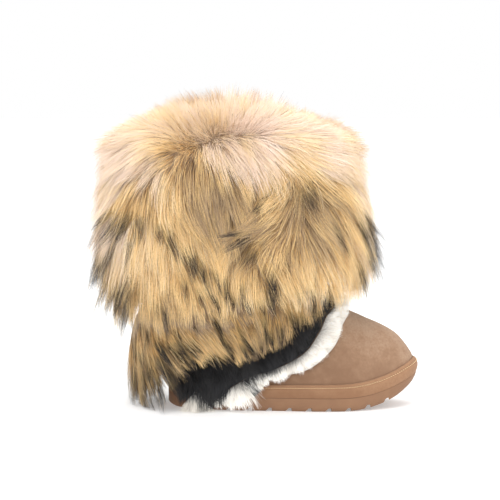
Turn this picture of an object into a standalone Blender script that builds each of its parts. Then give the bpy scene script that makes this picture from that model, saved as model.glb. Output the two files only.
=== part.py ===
"""A right foot's winter ankle boot: a suede upper on a lugged rubber sole, trimmed with long fur.

Metres, +Z up, +X towards the toe, +Y towards the inner side of the foot. The origin lies on the floor,
in the middle of the lug under the heel.

The upper is one hollow shell. Every piece that touches it is placed in the shell's own coordinates: a row
up the boot (0 at the sole, LAST_ROW at the collar), a turn round it (0 at the heel, pi at the toe), and a
distance out from its face.
"""

import math
from bisect import bisect_right
from collections import namedtuple
from functools import lru_cache

import bmesh
import bpy
from mathutils import Matrix, Vector

# Driving sizes
SOLE_LENGTH = 0.262
BALL_WIDTH = 0.100
ANKLE_HEIGHT = 0.125
COLLAR_HEIGHT = 0.285
TOE_SPRING = 0.025
HEEL_TO_ORIGIN = 0.033

# Walls, thicknesses and clearances
UPPER_WALL = 0.0028
OUTSOLE_THICKNESS = 0.0134
RAND_WALL = 0.0030
RAND_TOE_WALL = 0.0050
INSOLE_EDGE = 0.0006
FIT_GAP = 0.0003
SEAT_GAP = 0.0005
FUR_GAP = 0.0013
WELD = 1e-5

# Tread
FIRST_GROOVE = 0.0435
LUG_PITCH = 0.0205
GROOVE_DEPTH = 0.0037
GROOVE_MOUTH = 0.0066
GROOVE_FLOOR = 0.0031
LAST_GROOVE = 0.89
EDGE_ROLL = 0.0036
HEEL_ROLL = 1.4

# Fur
COLLAR_DEPTH_BACK = 0.083
COLLAR_DEPTH_FRONT = 0.087
CREST_RISE = 0.046
CREST_DIP_BACK = 0.38
CREST_DIP_FRONT = 0.62
SKIRT_DEPTH_BACK = 0.054
SKIRT_DEPTH_FRONT = 0.020
TRIM_PILE = 0.0105
TUFT_RADIUS = 0.0080

# Along the boot, in rows: where pieces start and end, and how far fur hangs past its hem. A row is
# HANG_STEP high below the sole's top.
HANG_STEP = 0.012
COLLAR_FUR_FOOT = 9.75
COLLAR_HANG = 2.6
SKIRT_TOP = 9.20
SKIRT_HANG_BACK = 4.0
SKIRT_HANG_FRONT = 1.2
ROW_GAP = 0.06
RAND_TOP = 1.35
RAND_CLEARED = 2.2
TUFT_TOP = -0.05
TUFT_TIP = -0.92
SHAFT_START = 7.0
SHAFT_LEVEL = 9.5

# Along a fur's face its hem starts here. A lock is sunk in the face by a share of its radius, and its
# length and its sway round the boot vary by a share.
HEM_START = 0.9
LOCK_SINK = 0.45
LOCK_VARIES = 0.10
BACK_SHARES = (0.0, 0.33, 0.67, 1.0)

# Share of the sole's length where the toe starts to rise, and how sharply it then does
TOE_BREAK = 0.68
SPRING_CURVE = 2.2

# How many points go round a piece, and how many of them lie at the heel between a strip's two ends
ROUND = 40
WHITE_SKIPPED = 6
BLACK_SKIPPED = 4

# The last's plan: half widths and the middle line, as shares of the ball width. Each half width is that of
# an oval with the same ends, which gives a round heel and toe.
Plan = namedtuple("Plan", "along lateral medial middle")
PLAN = [
    Plan(0.00, 0.66, 0.65, 0.000),
    Plan(0.06, 0.56, 0.55, 0.000),
    Plan(0.15, 0.48, 0.46, -0.002),
    Plan(0.30, 0.44, 0.42, -0.005),
    Plan(0.45, 0.44, 0.37, -0.005),
    Plan(0.60, 0.50, 0.46, 0.005),
    Plan(0.72, 0.54, 0.52, 0.018),
    Plan(0.85, 0.55, 0.56, 0.038),
    Plan(0.94, 0.57, 0.62, 0.052),
    Plan(1.00, 0.61, 0.68, 0.060),
]

# The upper's sections, from the sole to the collar. back and front are shares of the sole's length; a rise
# is 0 at the sole, 1 at the ankle and 2 at the collar; rear and fore scale the last's plan; half is the
# shaft's half width as a share of the ball width, and rounding is how far the section is the shaft's oval.
Section = namedtuple("Section", "back front back_rise front_rise rear fore half rounding")
UPPER = [
    Section(0.013, 0.980, 0.000, 0.000, 1.000, 1.000, 0.420, 0.00),
    Section(0.013, 0.979, 0.113, 0.138, 0.990, 0.990, 0.420, 0.00),
    Section(0.010, 0.964, 0.238, 0.230, 0.960, 0.970, 0.420, 0.00),
    Section(0.009, 0.943, 0.346, 0.326, 0.930, 0.945, 0.420, 0.00),
    Section(0.011, 0.908, 0.453, 0.454, 0.900, 0.905, 0.420, 0.00),
    Section(0.016, 0.847, 0.561, 0.590, 0.880, 0.855, 0.420, 0.00),
    Section(0.023, 0.767, 0.668, 0.717, 0.860, 0.810, 0.420, 0.10),
    Section(0.030, 0.687, 0.776, 0.812, 0.850, 0.775, 0.420, 0.25),
    Section(0.034, 0.603, 0.883, 0.928, 0.850, 0.760, 0.430, 0.50),
    Section(0.033, 0.542, 1.019, 1.063, 0.860, 0.800, 0.450, 0.80),
    Section(0.027, 0.515, 1.156, 1.200, 0.880, 0.880, 0.475, 1.00),
    Section(0.012, 0.505, 1.406, 1.430, 0.880, 0.880, 0.505, 1.00),
    Section(0.000, 0.508, 1.720, 1.725, 0.880, 0.880, 0.540, 1.00),
    Section(-0.008, 0.519, 2.000, 2.000, 0.880, 0.880, 0.565, 1.00),
]
LAST_ROW = len(UPPER) - 1

# Where the fur strips start round the boot: the row of each strip's lower edge at a turn in degrees from
# the heel. From the side of the foot on, they climb along the seam of the vamp to the instep.
Hem = namedtuple("Hem", "turn white black skirt")
HEMS = [
    Hem(0, 0.10, 0.30, 1.40),
    Hem(30, -0.20, 0.15, 2.60),
    Hem(45, -0.30, 0.10, 3.35),
    Hem(54, -0.35, 0.30, 3.55),
    Hem(63, -0.35, 1.10, 3.75),
    Hem(72, 0.10, 1.80, 4.00),
    Hem(80, 1.42, 2.15, 4.40),
    Hem(97, 2.20, 3.50, 5.50),
    Hem(113, 3.80, 5.05, 6.60),
    Hem(136, 5.60, 6.50, 7.50),
    Hem(180, 6.85, 7.60, 8.25),
]

# The outsole's wall from the tread up: height as a share of the thickness, inset as a share of the roll
Wall = namedtuple("Wall", "level inset")
OUTSOLE_WALL = [Wall(0.0, 1.0), Wall(0.16, 0.35), Wall(0.40, 0.0), Wall(0.88, 0.0), Wall(1.0, 0.3)]

# The rand's section as a loop: the row, and the distance out as a share of its wall
Corner = namedtuple("Corner", "row out")
RAND_LOOP = [
    Corner(0.03, 0.0),
    Corner(0.50, 0.0),
    Corner(0.97, 0.0),
    Corner(1.00, 0.50),
    Corner(0.90, 0.92),
    Corner(0.50, 1.0),
    Corner(0.03, 0.96),
]

# The insole's edge from its underside up: the row, and how far in from the upper's lining
Edge = namedtuple("Edge", "row inset")
INSOLE_WALL = [Edge(0.0, 0.0), Edge(0.45, 0.0), Edge(0.62, 0.0025)]

# The cuff's outer face, from the crest to the hem: u along it, out as a share of the depth, the row at the
# heel, and how many rows higher it is at the front
Face = namedtuple("Face", "u out row fore")
COLLAR_FACE = [
    Face(0.00, 0.20, LAST_ROW + 1.00, 0.0),
    Face(0.16, 0.54, LAST_ROW + 0.50, -0.37),
    Face(0.32, 0.78, 12.85, -0.20),
    Face(0.55, 0.93, 11.90, 0.0),
    Face(0.72, 1.00, 11.00, 0.1),
    Face(0.87, 1.00, 9.90, 0.3),
    Face(1.00, 0.84, 8.70, 0.6),
]

# The outer faces of the lower strips, where row is a share of the strip's own height
Strip = namedtuple("Strip", "u out row")
SKIRT_FACE = [Strip(0.0, 0.30, 1.0), Strip(0.3, 0.84, 0.72), Strip(0.65, 1.0, 0.36), Strip(1.0, 0.86, 0.0)]
TRIM_FACE = [Strip(0.0, 0.55, 1.0), Strip(0.4, 1.0, 0.6), Strip(0.8, 0.9, 0.2), Strip(1.0, 0.45, 0.0)]

# Locks: how many in a tier, where along the face they start and end, their radius, their lift at the tip,
# and how far round the tier starts, as a share of the way to the next lock
Tier = namedtuple("Tier", "count start end radius lift phase")
COLLAR_TIERS = [
    Tier(12, 0.22, 0.66, 0.0135, 0.008, 0.0),
    Tier(13, 0.50, 0.96, 0.0135, 0.010, 0.5),
    Tier(15, 0.76, 1.32, 0.0125, 0.004, 0.2),
]
SKIRT_TIERS = [
    Tier(10, 0.20, 0.80, 0.0095, 0.005, 0.3),
    Tier(15, 0.60, 1.50, 0.0080, 0.002, 0.0),
]

# How locks taper: the radius as a share, from root to tip
Taper = namedtuple("Taper", "along share")
LOCK_SHAPE = [Taper(0.0, 1.0), Taper(0.35, 0.92), Taper(0.72, 0.58), Taper(1.0, 0.10)]
TUFT_SHAPE = [Taper(0.0, 0.40), Taper(0.35, 0.75), Taper(0.75, 1.0), Taper(1.0, 0.25)]
TUFT_TURNS = {"lateral": math.radians(40), "medial": math.radians(-40)}

# Sheens and colours, as base colour, roughness and metallic value
FINISHES = {
    "suede": ((0.42, 0.27, 0.17, 1.0), 0.95, 0.0),
    "rubber": ((0.34, 0.19, 0.11, 1.0), 0.70, 0.0),
    "rand_suede": ((0.33, 0.19, 0.11, 1.0), 0.85, 0.0),
    "fleece": ((0.72, 0.60, 0.45, 1.0), 1.0, 0.0),
    "long_fur": ((0.66, 0.45, 0.22, 1.0), 0.90, 0.0),
    "black_fur": ((0.02, 0.02, 0.022, 1.0), 0.85, 0.0),
    "white_fur": ((0.80, 0.77, 0.70, 1.0), 0.90, 0.0),
}


def through(knots, values, at):
    """A smooth curve through values at rising knots, read at one place."""
    at = min(max(at, knots[0]), knots[-1])
    k = min(bisect_right(knots, at), len(knots) - 1) - 1

    def slope(i):
        low, high = max(i - 1, 0), min(i + 1, len(knots) - 1)
        return (values[high] - values[low]) / (knots[high] - knots[low])

    span = knots[k + 1] - knots[k]
    t = (at - knots[k]) / span
    start = (2 * t**3 - 3 * t**2 + 1) * values[k] + (t**3 - 2 * t**2 + t) * span * slope(k)
    end = (3 * t**2 - 2 * t**3) * values[k + 1] + (t**3 - t**2) * span * slope(k + 1)
    return start + end


def read(table, column, at):
    """One column of a table whose first column is its knots."""
    return through([row[0] for row in table], [getattr(row, column) for row in table], at)


@lru_cache(maxsize=None)
def section(row):
    """The upper's section at a row, which may lie between two rows of the table."""
    return Section(*(through(range(len(UPPER)), column, row) for column in zip(*UPPER)))


@lru_cache(maxsize=None)
def plan(along, column):
    return read(PLAN, column, along) * BALL_WIDTH


def spring(x):
    """How far the toe has risen at a distance from the heel's back."""
    share = max(0.0, x / SOLE_LENGTH - TOE_BREAK) / (1 - TOE_BREAK)
    return TOE_SPRING * share**SPRING_CURVE


def toe_slope(x):
    """How steeply the tread rises there, as an angle."""
    return math.atan2(spring(x + GROOVE_MOUTH) - spring(x), GROOVE_MOUTH)


def height(rise):
    seat = OUTSOLE_THICKNESS + SEAT_GAP
    if rise <= 1:
        return seat + rise * (ANKLE_HEIGHT - seat)
    return ANKLE_HEIGHT + (rise - 1) * (COLLAR_HEIGHT - ANKLE_HEIGHT)


@lru_cache(maxsize=None)
def form_point(row, turn):
    """A point of the smooth form that the upper follows."""
    part = section(row)
    share = (1 - math.cos(turn)) / 2
    x = (part.back + (part.front - part.back) * share) * SOLE_LENGTH
    side = "lateral" if math.sin(turn) >= 0 else "medial"
    foot = plan(x / SOLE_LENGTH, side) - RAND_WALL - FIT_GAP
    foot *= part.rear + (part.fore - part.rear) * share
    half = foot + (part.half * BALL_WIDTH - foot) * part.rounding
    middle = plan(x / SOLE_LENGTH, "middle") * (1 - part.rounding)
    back, front = height(part.back_rise), height(part.front_rise)
    z = back + (front - back) * share + spring(x)
    return Vector((x - HEEL_TO_ORIGIN, middle - half * math.sin(turn), z))


def upper_point(row, turn):
    """A point of the upper's outer face, which runs straight between two whole rows."""
    low = min(int(row), LAST_ROW - 1)
    return form_point(low, turn).lerp(form_point(low + 1, turn), row - low)


@lru_cache(maxsize=None)
def outward(row, turn):
    """The way out of the upper's face, level on the shaft so that deep fur stands straight off it."""
    step = 0.01
    round_it = form_point(row, turn + step) - form_point(row, turn - step)
    up_it = form_point(min(row + step, LAST_ROW), turn) - form_point(max(row - step, 0), turn)
    way = round_it.cross(up_it).normalized()
    way.z *= min(max((SHAFT_LEVEL - row) / (SHAFT_LEVEL - SHAFT_START), 0.0), 1.0)
    return way.normalized()


def off(row, turn, out):
    """A point this far out from the upper. Below row 0 and above the collar it goes on straight."""
    on_shell = min(max(row, 0.0), float(LAST_ROW))
    point = upper_point(on_shell, turn) + outward(on_shell, turn) * out
    if row < 0:
        point.z += row * HANG_STEP
    if row > LAST_ROW:
        dip = CREST_DIP_BACK if math.cos(turn) > 0 else CREST_DIP_FRONT
        point.z += (row - LAST_ROW) * CREST_RISE * (1 - dip * math.cos(turn) ** 2)
    return point


def turns(count):
    return [2 * math.pi * k / count for k in range(count)]


def front_share(turn):
    """0 at the heel, 1 at the toe."""
    return (1 - math.cos(turn)) / 2


def hem(strip, turn):
    """The row of a strip's lower edge, the same on both sides of the boot."""
    around = math.degrees(turn) % 360
    return read(HEMS, strip, min(around, 360 - around))


def finish(name):
    """The material of that name, made the first time that it is asked for."""
    if name in bpy.data.materials:
        return bpy.data.materials[name]
    colour, roughness, metallic = FINISHES[name]
    made = bpy.data.materials.new(name)
    made.use_nodes = True
    shader = made.node_tree.nodes["Principled BSDF"]
    shader.inputs["Base Color"].default_value = colour
    shader.inputs["Roughness"].default_value = roughness
    shader.inputs["Metallic"].default_value = metallic
    made.diffuse_color = colour
    return made


def place(name, mesh, finish_name, group):
    """An object for a mesh, in a collection and with its material."""
    made = bpy.data.objects.new(name, mesh)
    group.objects.link(made)
    mesh.materials.append(finish(finish_name))
    return made


def ladder(corners):
    """Faces across a ring whose points pair up left and right, which suits a springy sole."""
    count = len(corners)
    rungs = []
    for k in range(count // 2):
        face = [corners[k], corners[k + 1], corners[-k - 1], corners[-k % count]]
        rungs.append([v for i, v in enumerate(face) if v not in face[:i]])
    return rungs


def loft(name, rings, caps=None, loop=False):
    """A mesh through rings with the same number of points. caps is ladder or flat; loop joins the ends."""
    shape = bmesh.new()
    made = [[shape.verts.new(point) for point in ring] for ring in rings]
    pairs = list(zip(made, made[1:]))
    if loop:
        pairs.append((made[-1], made[0]))
    for low, high in pairs:
        for k in range(len(low)):
            n = (k + 1) % len(low)
            shape.faces.new((low[k], low[n], high[n], high[k]))
    for ring in (made[0], made[-1]) if caps else ():
        for face in ladder(ring) if caps == "ladder" else [ring]:
            shape.faces.new(face)
    if caps or loop:
        bmesh.ops.recalc_face_normals(shape, faces=shape.faces)
    mesh = bpy.data.meshes.new(name)
    shape.to_mesh(mesh)
    shape.free()
    mesh.shade_smooth()
    mesh.set_sharp_from_angle(angle=math.radians(35))
    return mesh


def rand_wall(turn):
    """The rand is thicker round the toe, where it makes a bumper."""
    toe = max(0.0, -math.cos(turn)) ** 6
    return RAND_WALL + (RAND_TOE_WALL - RAND_WALL) * toe


def sole_edge(turn, inset):
    """A point of the outsole's outline, flush with the rand, moved in by the inset."""
    way = outward(0, turn).copy()
    way.z = 0
    way.normalize()
    return upper_point(0, turn) + way * (FIT_GAP + rand_wall(turn) - inset)


def groove(name, x, group):
    """A cutter across the sole, upright at the front and slanted at the back."""
    half = GROOVE_MOUTH / 2
    slant = GROOVE_MOUTH - GROOVE_FLOOR
    outline = [
        (-half - slant, -GROOVE_DEPTH),
        (half, -GROOVE_DEPTH),
        (half, GROOVE_DEPTH),
        (half - GROOVE_FLOOR, GROOVE_DEPTH),
    ]
    tilt = Matrix.Rotation(-toe_slope(x), 4, "Y")
    place_at = Matrix.Translation((x - HEEL_TO_ORIGIN, 0, spring(x))) @ tilt
    ends = [
        [place_at @ Vector((a, side * BALL_WIDTH, b)) for a, b in outline]
        for side in (-1, 1)
    ]
    return place(name, loft(name, ends, caps="flat"), "rubber", group)


def outsole(parts, cutters):
    rings = []
    for wall in OUTSOLE_WALL:
        ring = []
        for turn in turns(ROUND):
            ends = 1 + HEEL_ROLL * max(0.0, math.cos(turn)) ** 4
            point = sole_edge(turn, wall.inset * EDGE_ROLL * ends)
            point.z = wall.level * OUTSOLE_THICKNESS + spring(upper_point(0, turn).x + HEEL_TO_ORIGIN)
            ring.append(point)
        rings.append(ring)
    rings.append([upper_point(0, turn) - Vector((0, 0, SEAT_GAP)) for turn in turns(ROUND)])
    sole = place("outsole", loft("outsole", rings, caps="ladder"), "rubber", parts)
    at = FIRST_GROOVE
    while at < LAST_GROOVE * SOLE_LENGTH:
        cutter = groove(f"groove_{round(at * 1000)}", at, cutters)
        cut = sole.modifiers.new(cutter.name, "BOOLEAN")
        cut.operation = "DIFFERENCE"
        cut.solver = "EXACT"
        cut.object = cutter
        at += LUG_PITCH * math.cos(toe_slope(at))
    return sole


def upper(parts):
    rings = [[upper_point(row, turn) for turn in turns(ROUND)] for row in range(len(UPPER))]
    shell = place("upper", loft("upper", rings), "suede", parts)
    wall = shell.modifiers.new("wall", "SOLIDIFY")
    wall.thickness = UPPER_WALL
    wall.offset = -1
    wall.use_even_offset = True
    return shell


def rand(parts):
    """The strip round the foot of the upper: inner face, rolled top edge and outer face as one loop."""
    rings = [
        [off(corner.row, turn, FIT_GAP + corner.out * rand_wall(turn)) for turn in turns(ROUND)]
        for corner in RAND_LOOP
    ]
    return place("rand", loft("rand", rings, loop=True), "rand_suede", parts)


def insole(parts):
    inside = -(UPPER_WALL + FIT_GAP + INSOLE_EDGE)
    rings = [[off(edge.row, turn, inside - edge.inset) for turn in turns(ROUND)] for edge in INSOLE_WALL]
    return place("insole", loft("insole", rings, caps="ladder"), "fleece", parts)


def collar_face(u, turn):
    """Row and distance out of the cuff's face; past its hem it hangs straight on."""
    share = front_share(turn)
    depth = COLLAR_DEPTH_BACK + (COLLAR_DEPTH_FRONT - COLLAR_DEPTH_BACK) * share
    row = read(COLLAR_FACE, "row", u) + read(COLLAR_FACE, "fore", u) * share - max(0.0, u - 1) * COLLAR_HANG
    return row, read(COLLAR_FACE, "out", u) * depth


def collar_span(turn):
    """The rows between which a piece lies on the upper."""
    return COLLAR_FUR_FOOT, float(LAST_ROW)


def skirt_face(u, turn):
    share = front_share(turn)
    low, high = skirt_span(turn)
    depth = SKIRT_DEPTH_BACK + (SKIRT_DEPTH_FRONT - SKIRT_DEPTH_BACK) * share
    hang = SKIRT_HANG_BACK + (SKIRT_HANG_FRONT - SKIRT_HANG_BACK) * share
    row = low + (high - low) * read(SKIRT_FACE, "row", u) - max(0.0, u - 1) * hang
    return row, read(SKIRT_FACE, "out", u) * depth


def skirt_span(turn):
    return hem("skirt", turn), SKIRT_TOP


def rest(row):
    """How far out the back of a strip lies: on the upper, or over the rand."""
    over = min(max((RAND_CLEARED - row) / (RAND_CLEARED - RAND_TOP), 0.0), 1.0)
    return FUR_GAP + (RAND_WALL + FIT_GAP) * over


def fur_rings(face, span, steps, around):
    """Sections of a fur body at each turn: its back on the upper, then its face."""
    rings = []
    for turn in around:
        foot, top = span(turn)
        rows = [foot + (top - foot) * share for share in BACK_SHARES]
        ring = [off(row, turn, rest(row)) for row in rows]
        for step in steps:
            row, out = face(step.u, turn)
            ring.append(off(row, turn, out))
        rings.append(ring)
    return rings


def tapered(name, points, shape, radius, group):
    """A tapered round lock, as a curve through points."""
    line = bpy.data.curves.new(name, "CURVE")
    line.dimensions = "3D"
    line.bevel_depth = radius
    line.bevel_resolution = 1
    line.use_fill_caps = True
    spline = line.splines.new("POLY")
    spline.points.add(len(points) - 1)
    for control, point, taper in zip(spline.points, points, shape):
        control.co = (*point, 1)
        control.radius = taper.share
    group.objects.link(bpy.data.objects.new(name, line))


def solid_locks(lines):
    """Closed meshes, named for the lines that they replace."""
    bpy.context.view_layer.update()
    graph = bpy.context.evaluated_depsgraph_get()
    meshes = []
    for line in list(lines.objects):
        mesh = bpy.data.meshes.new_from_object(line.evaluated_get(graph))
        mesh.name = line.name
        meshes.append(mesh)
        shape = bmesh.new()
        shape.from_mesh(mesh)
        bmesh.ops.remove_doubles(shape, verts=shape.verts, dist=WELD)
        bmesh.ops.recalc_face_normals(shape, faces=shape.faces)
        shape.to_mesh(mesh)
        shape.free()
    for line in list(lines.objects):
        bpy.data.objects.remove(line)
    return meshes


def helper_collection(name, parent):
    made = bpy.data.collections.new(name)
    parent.children.link(made)
    made.hide_render = True
    return made


def lock_line(face, turn, tier, below_hem, sway):
    """The middle line of a lock that lies along a fur face and clears what lies below its hem."""
    points = []
    for taper in LOCK_SHAPE:
        u = tier.start + (tier.end - tier.start) * taper.along
        row, out = face(u, turn)
        out += tier.lift * taper.along - LOCK_SINK * tier.radius
        under = below_hem if u >= HEM_START else FUR_GAP
        out = max(out, under + tier.radius * taper.share)
        points.append(off(row, turn + sway * taper.along, out))
    return points


def add_locks(body, face, tiers, below_hem, helpers):
    """Tiers of locks joined to the fur's body. Each lock's length and sway differ a little."""
    lines = helper_collection(body.name + "_locks", helpers)
    for t, tier in enumerate(tiers):
        for k in range(tier.count):
            turn = 2 * math.pi * (k + tier.phase) / tier.count
            stretch = 1 + LOCK_VARIES * math.sin(2.3 * k + t)
            sway = LOCK_VARIES * math.sin(1.7 * k + 2 * t)
            longer = tier._replace(end=tier.start + (tier.end - tier.start) * stretch)
            points = lock_line(face, turn, longer, below_hem, sway)
            tapered(f"{body.name}_{t}_{k}", points, LOCK_SHAPE, tier.radius, lines)
    for mesh in solid_locks(lines):
        lines.objects.link(bpy.data.objects.new(mesh.name, mesh))
    join = body.modifiers.new("locks", "BOOLEAN")
    join.operation = "UNION"
    join.solver = "EXACT"
    join.operand_type = "COLLECTION"
    join.collection = lines
    return body


def collar_fur(parts, helpers):
    rings = fur_rings(collar_face, collar_span, COLLAR_FACE, turns(ROUND))
    body = place("collar_fur", loft("collar_fur", rings, loop=True), "long_fur", parts)
    return add_locks(body, collar_face, COLLAR_TIERS, FUR_GAP, helpers)


def skirt_fur(parts, helpers):
    rings = fur_rings(skirt_face, skirt_span, SKIRT_FACE, turns(ROUND))
    body = place("skirt_fur", loft("skirt_fur", rings, loop=True), "long_fur", parts)
    return add_locks(body, skirt_face, SKIRT_TIERS, FUR_GAP + TRIM_PILE + FIT_GAP * 3, helpers)


def trim(strip, above, skipped, parts):
    """A short-haired strip from one side of the heel, round the front, to the other."""

    def span(turn):
        return hem(strip, turn), hem(above, turn) - ROW_GAP

    def face(u, turn):
        low, high = span(turn)
        row = low + (high - low) * read(TRIM_FACE, "row", u)
        return row, rest(row) + read(TRIM_FACE, "out", u) * TRIM_PILE

    around = turns(ROUND)[skipped : ROUND - skipped + 1]
    rings = fur_rings(face, span, TRIM_FACE, around)
    name = strip + "_trim"
    return place(name, loft(name, rings, caps="flat"), strip + "_fur", parts)


def white_tufts(parts, helpers):
    """A longer white tuft on each side of the heel, which hangs over the rand and the outsole's side."""
    lines = helper_collection("tuft_lines", helpers)
    for side, turn in TUFT_TURNS.items():
        points = []
        for taper in TUFT_SHAPE:
            row = TUFT_TOP + (TUFT_TIP - TUFT_TOP) * taper.along
            points.append(off(row, turn, RAND_WALL + TUFT_RADIUS * taper.share))
        tapered("white_tuft_" + side, points, TUFT_SHAPE, TUFT_RADIUS, lines)
    for mesh in solid_locks(lines):
        place(mesh.name, mesh, "white_fur", parts)


def main():
    for old in list(bpy.data.objects):
        bpy.data.objects.remove(old)
    parts = bpy.data.collections.new("fur_trimmed_boot")
    bpy.context.scene.collection.children.link(parts)
    helpers = helper_collection("cutters", bpy.context.scene.collection)
    outsole(parts, helpers)
    rand(parts)
    insole(parts)
    upper(parts)
    collar_fur(parts, helpers)
    skirt_fur(parts, helpers)
    trim("black", "skirt", BLACK_SKIPPED, parts)
    trim("white", "black", WHITE_SKIPPED, parts)
    white_tufts(parts, helpers)
    for helper in helpers.all_objects:
        helper.hide_render = True
        helper.display_type = "WIRE"


main()
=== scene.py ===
# %% [markdown]
# This lesson dresses a winter ankle boot: a suede foot on a grooved rubber sole, with a deep cuff of long
# fur. The plain solids come from the CAD frame. Everything that is added here follows the same sizes, so
# that the dressed boot stays where the solids are.

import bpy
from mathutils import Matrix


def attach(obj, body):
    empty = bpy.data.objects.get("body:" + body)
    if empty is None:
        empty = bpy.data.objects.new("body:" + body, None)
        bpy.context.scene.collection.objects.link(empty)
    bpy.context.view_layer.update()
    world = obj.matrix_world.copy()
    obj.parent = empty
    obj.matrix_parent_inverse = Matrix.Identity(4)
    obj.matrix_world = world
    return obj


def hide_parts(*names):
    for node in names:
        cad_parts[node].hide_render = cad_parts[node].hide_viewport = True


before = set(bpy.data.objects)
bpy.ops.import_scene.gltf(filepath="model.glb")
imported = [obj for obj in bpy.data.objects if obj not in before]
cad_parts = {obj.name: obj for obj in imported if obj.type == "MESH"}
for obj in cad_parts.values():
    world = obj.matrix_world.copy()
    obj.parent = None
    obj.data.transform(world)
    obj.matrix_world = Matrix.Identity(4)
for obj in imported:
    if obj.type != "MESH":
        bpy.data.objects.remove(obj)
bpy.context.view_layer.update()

# %% [markdown]
# A boot is built on a last, a solid foot form. Its plan and its sections up the leg are short tables of
# shares of a few named sizes, and a smooth curve runs through each column. Keeping the tables, and not
# points, means that a skin can be sampled as finely as it needs.

# %% The boot's sizes and tables
import math
from bisect import bisect_right
from collections import namedtuple
from functools import lru_cache

import bmesh
import bpy
from mathutils import Matrix, Vector, noise

SOLE_LENGTH = 0.262
BALL_WIDTH = 0.100
ANKLE_HEIGHT = 0.125
COLLAR_HEIGHT = 0.285
TOE_SPRING = 0.025
HEEL_TO_ORIGIN = 0.033
UPPER_WALL = 0.0028
OUTSOLE_THICKNESS = 0.0134
RAND_WALL = 0.0030
RAND_TOE_WALL = 0.0050
FIT_GAP = 0.0003
SEAT_GAP = 0.0005
FUR_GAP = 0.0013
TOE_BREAK = 0.68
SPRING_CURVE = 2.2
HANG_STEP = 0.012
CREST_RISE = 0.046
CREST_DIP_BACK = 0.38
CREST_DIP_FRONT = 0.62
LEVEL_FROM = 7.0
LEVEL_ROWS = 2.5

Plan = namedtuple("Plan", "along lateral medial middle")
PLAN = [
    Plan(0.00, 0.66, 0.65, 0.000),
    Plan(0.06, 0.56, 0.55, 0.000),
    Plan(0.15, 0.48, 0.46, -0.002),
    Plan(0.30, 0.44, 0.42, -0.005),
    Plan(0.45, 0.44, 0.37, -0.005),
    Plan(0.60, 0.50, 0.46, 0.005),
    Plan(0.72, 0.54, 0.52, 0.018),
    Plan(0.85, 0.55, 0.56, 0.038),
    Plan(0.94, 0.57, 0.62, 0.052),
    Plan(1.00, 0.61, 0.68, 0.060),
]
Section = namedtuple("Section", "back front back_rise front_rise rear fore half rounding")
UPPER = [
    Section(0.013, 0.980, 0.000, 0.000, 1.000, 1.000, 0.420, 0.00),
    Section(0.013, 0.979, 0.113, 0.138, 0.990, 0.990, 0.420, 0.00),
    Section(0.010, 0.964, 0.238, 0.230, 0.960, 0.970, 0.420, 0.00),
    Section(0.009, 0.943, 0.346, 0.326, 0.930, 0.945, 0.420, 0.00),
    Section(0.011, 0.908, 0.453, 0.454, 0.900, 0.905, 0.420, 0.00),
    Section(0.016, 0.847, 0.561, 0.590, 0.880, 0.855, 0.420, 0.00),
    Section(0.023, 0.767, 0.668, 0.717, 0.860, 0.810, 0.420, 0.10),
    Section(0.030, 0.687, 0.776, 0.812, 0.850, 0.775, 0.420, 0.25),
    Section(0.034, 0.603, 0.883, 0.928, 0.850, 0.760, 0.430, 0.50),
    Section(0.033, 0.542, 1.019, 1.063, 0.860, 0.800, 0.450, 0.80),
    Section(0.027, 0.515, 1.156, 1.200, 0.880, 0.880, 0.475, 1.00),
    Section(0.012, 0.505, 1.406, 1.430, 0.880, 0.880, 0.505, 1.00),
    Section(0.000, 0.508, 1.720, 1.725, 0.880, 0.880, 0.540, 1.00),
    Section(-0.008, 0.519, 2.000, 2.000, 0.880, 0.880, 0.565, 1.00),
]
LAST_ROW = len(UPPER) - 1
print("sections up the leg:", len(UPPER))


# %% A smooth curve through a table
def clamped(value, low=0.0, high=1.0):
    return min(max(value, low), high)


def through(knots, values, at):
    """A smooth curve through values at rising knots, read at one place."""
    at = clamped(at, knots[0], knots[-1])
    k = min(bisect_right(knots, at), len(knots) - 1) - 1

    def slope(i):
        low, high = max(i - 1, 0), min(i + 1, len(knots) - 1)
        return (values[high] - values[low]) / (knots[high] - knots[low])

    span = knots[k + 1] - knots[k]
    t = (at - knots[k]) / span
    start = (2 * t**3 - 3 * t**2 + 1) * values[k] + (t**3 - 2 * t**2 + t) * span * slope(k)
    end = (3 * t**2 - 2 * t**3) * values[k + 1] + (t**3 - t**2) * span * slope(k + 1)
    return start + end


def read(table, column, at):
    """One column of a table whose first column is its knots."""
    return through([row[0] for row in table], [getattr(row, column) for row in table], at)


@lru_cache(maxsize=None)
def section(row):
    return Section(*(through(range(len(UPPER)), column, row) for column in zip(*UPPER)))


@lru_cache(maxsize=None)
def plan(along, column):
    return read(PLAN, column, along) * BALL_WIDTH


def spring(x):
    """How far the toe has risen at a distance from the heel's back."""
    share = max(0.0, x / SOLE_LENGTH - TOE_BREAK) / (1 - TOE_BREAK)
    return TOE_SPRING * share**SPRING_CURVE


def height(rise):
    seat = OUTSOLE_THICKNESS + SEAT_GAP
    if rise <= 1:
        return seat + rise * (ANKLE_HEIGHT - seat)
    return ANKLE_HEIGHT + (rise - 1) * (COLLAR_HEIGHT - ANKLE_HEIGHT)


# %% A point of the last, and the way out of it
def front_share(turn):
    """0 at the heel and 1 at the toe."""
    return (1 - math.cos(turn)) / 2


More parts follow.
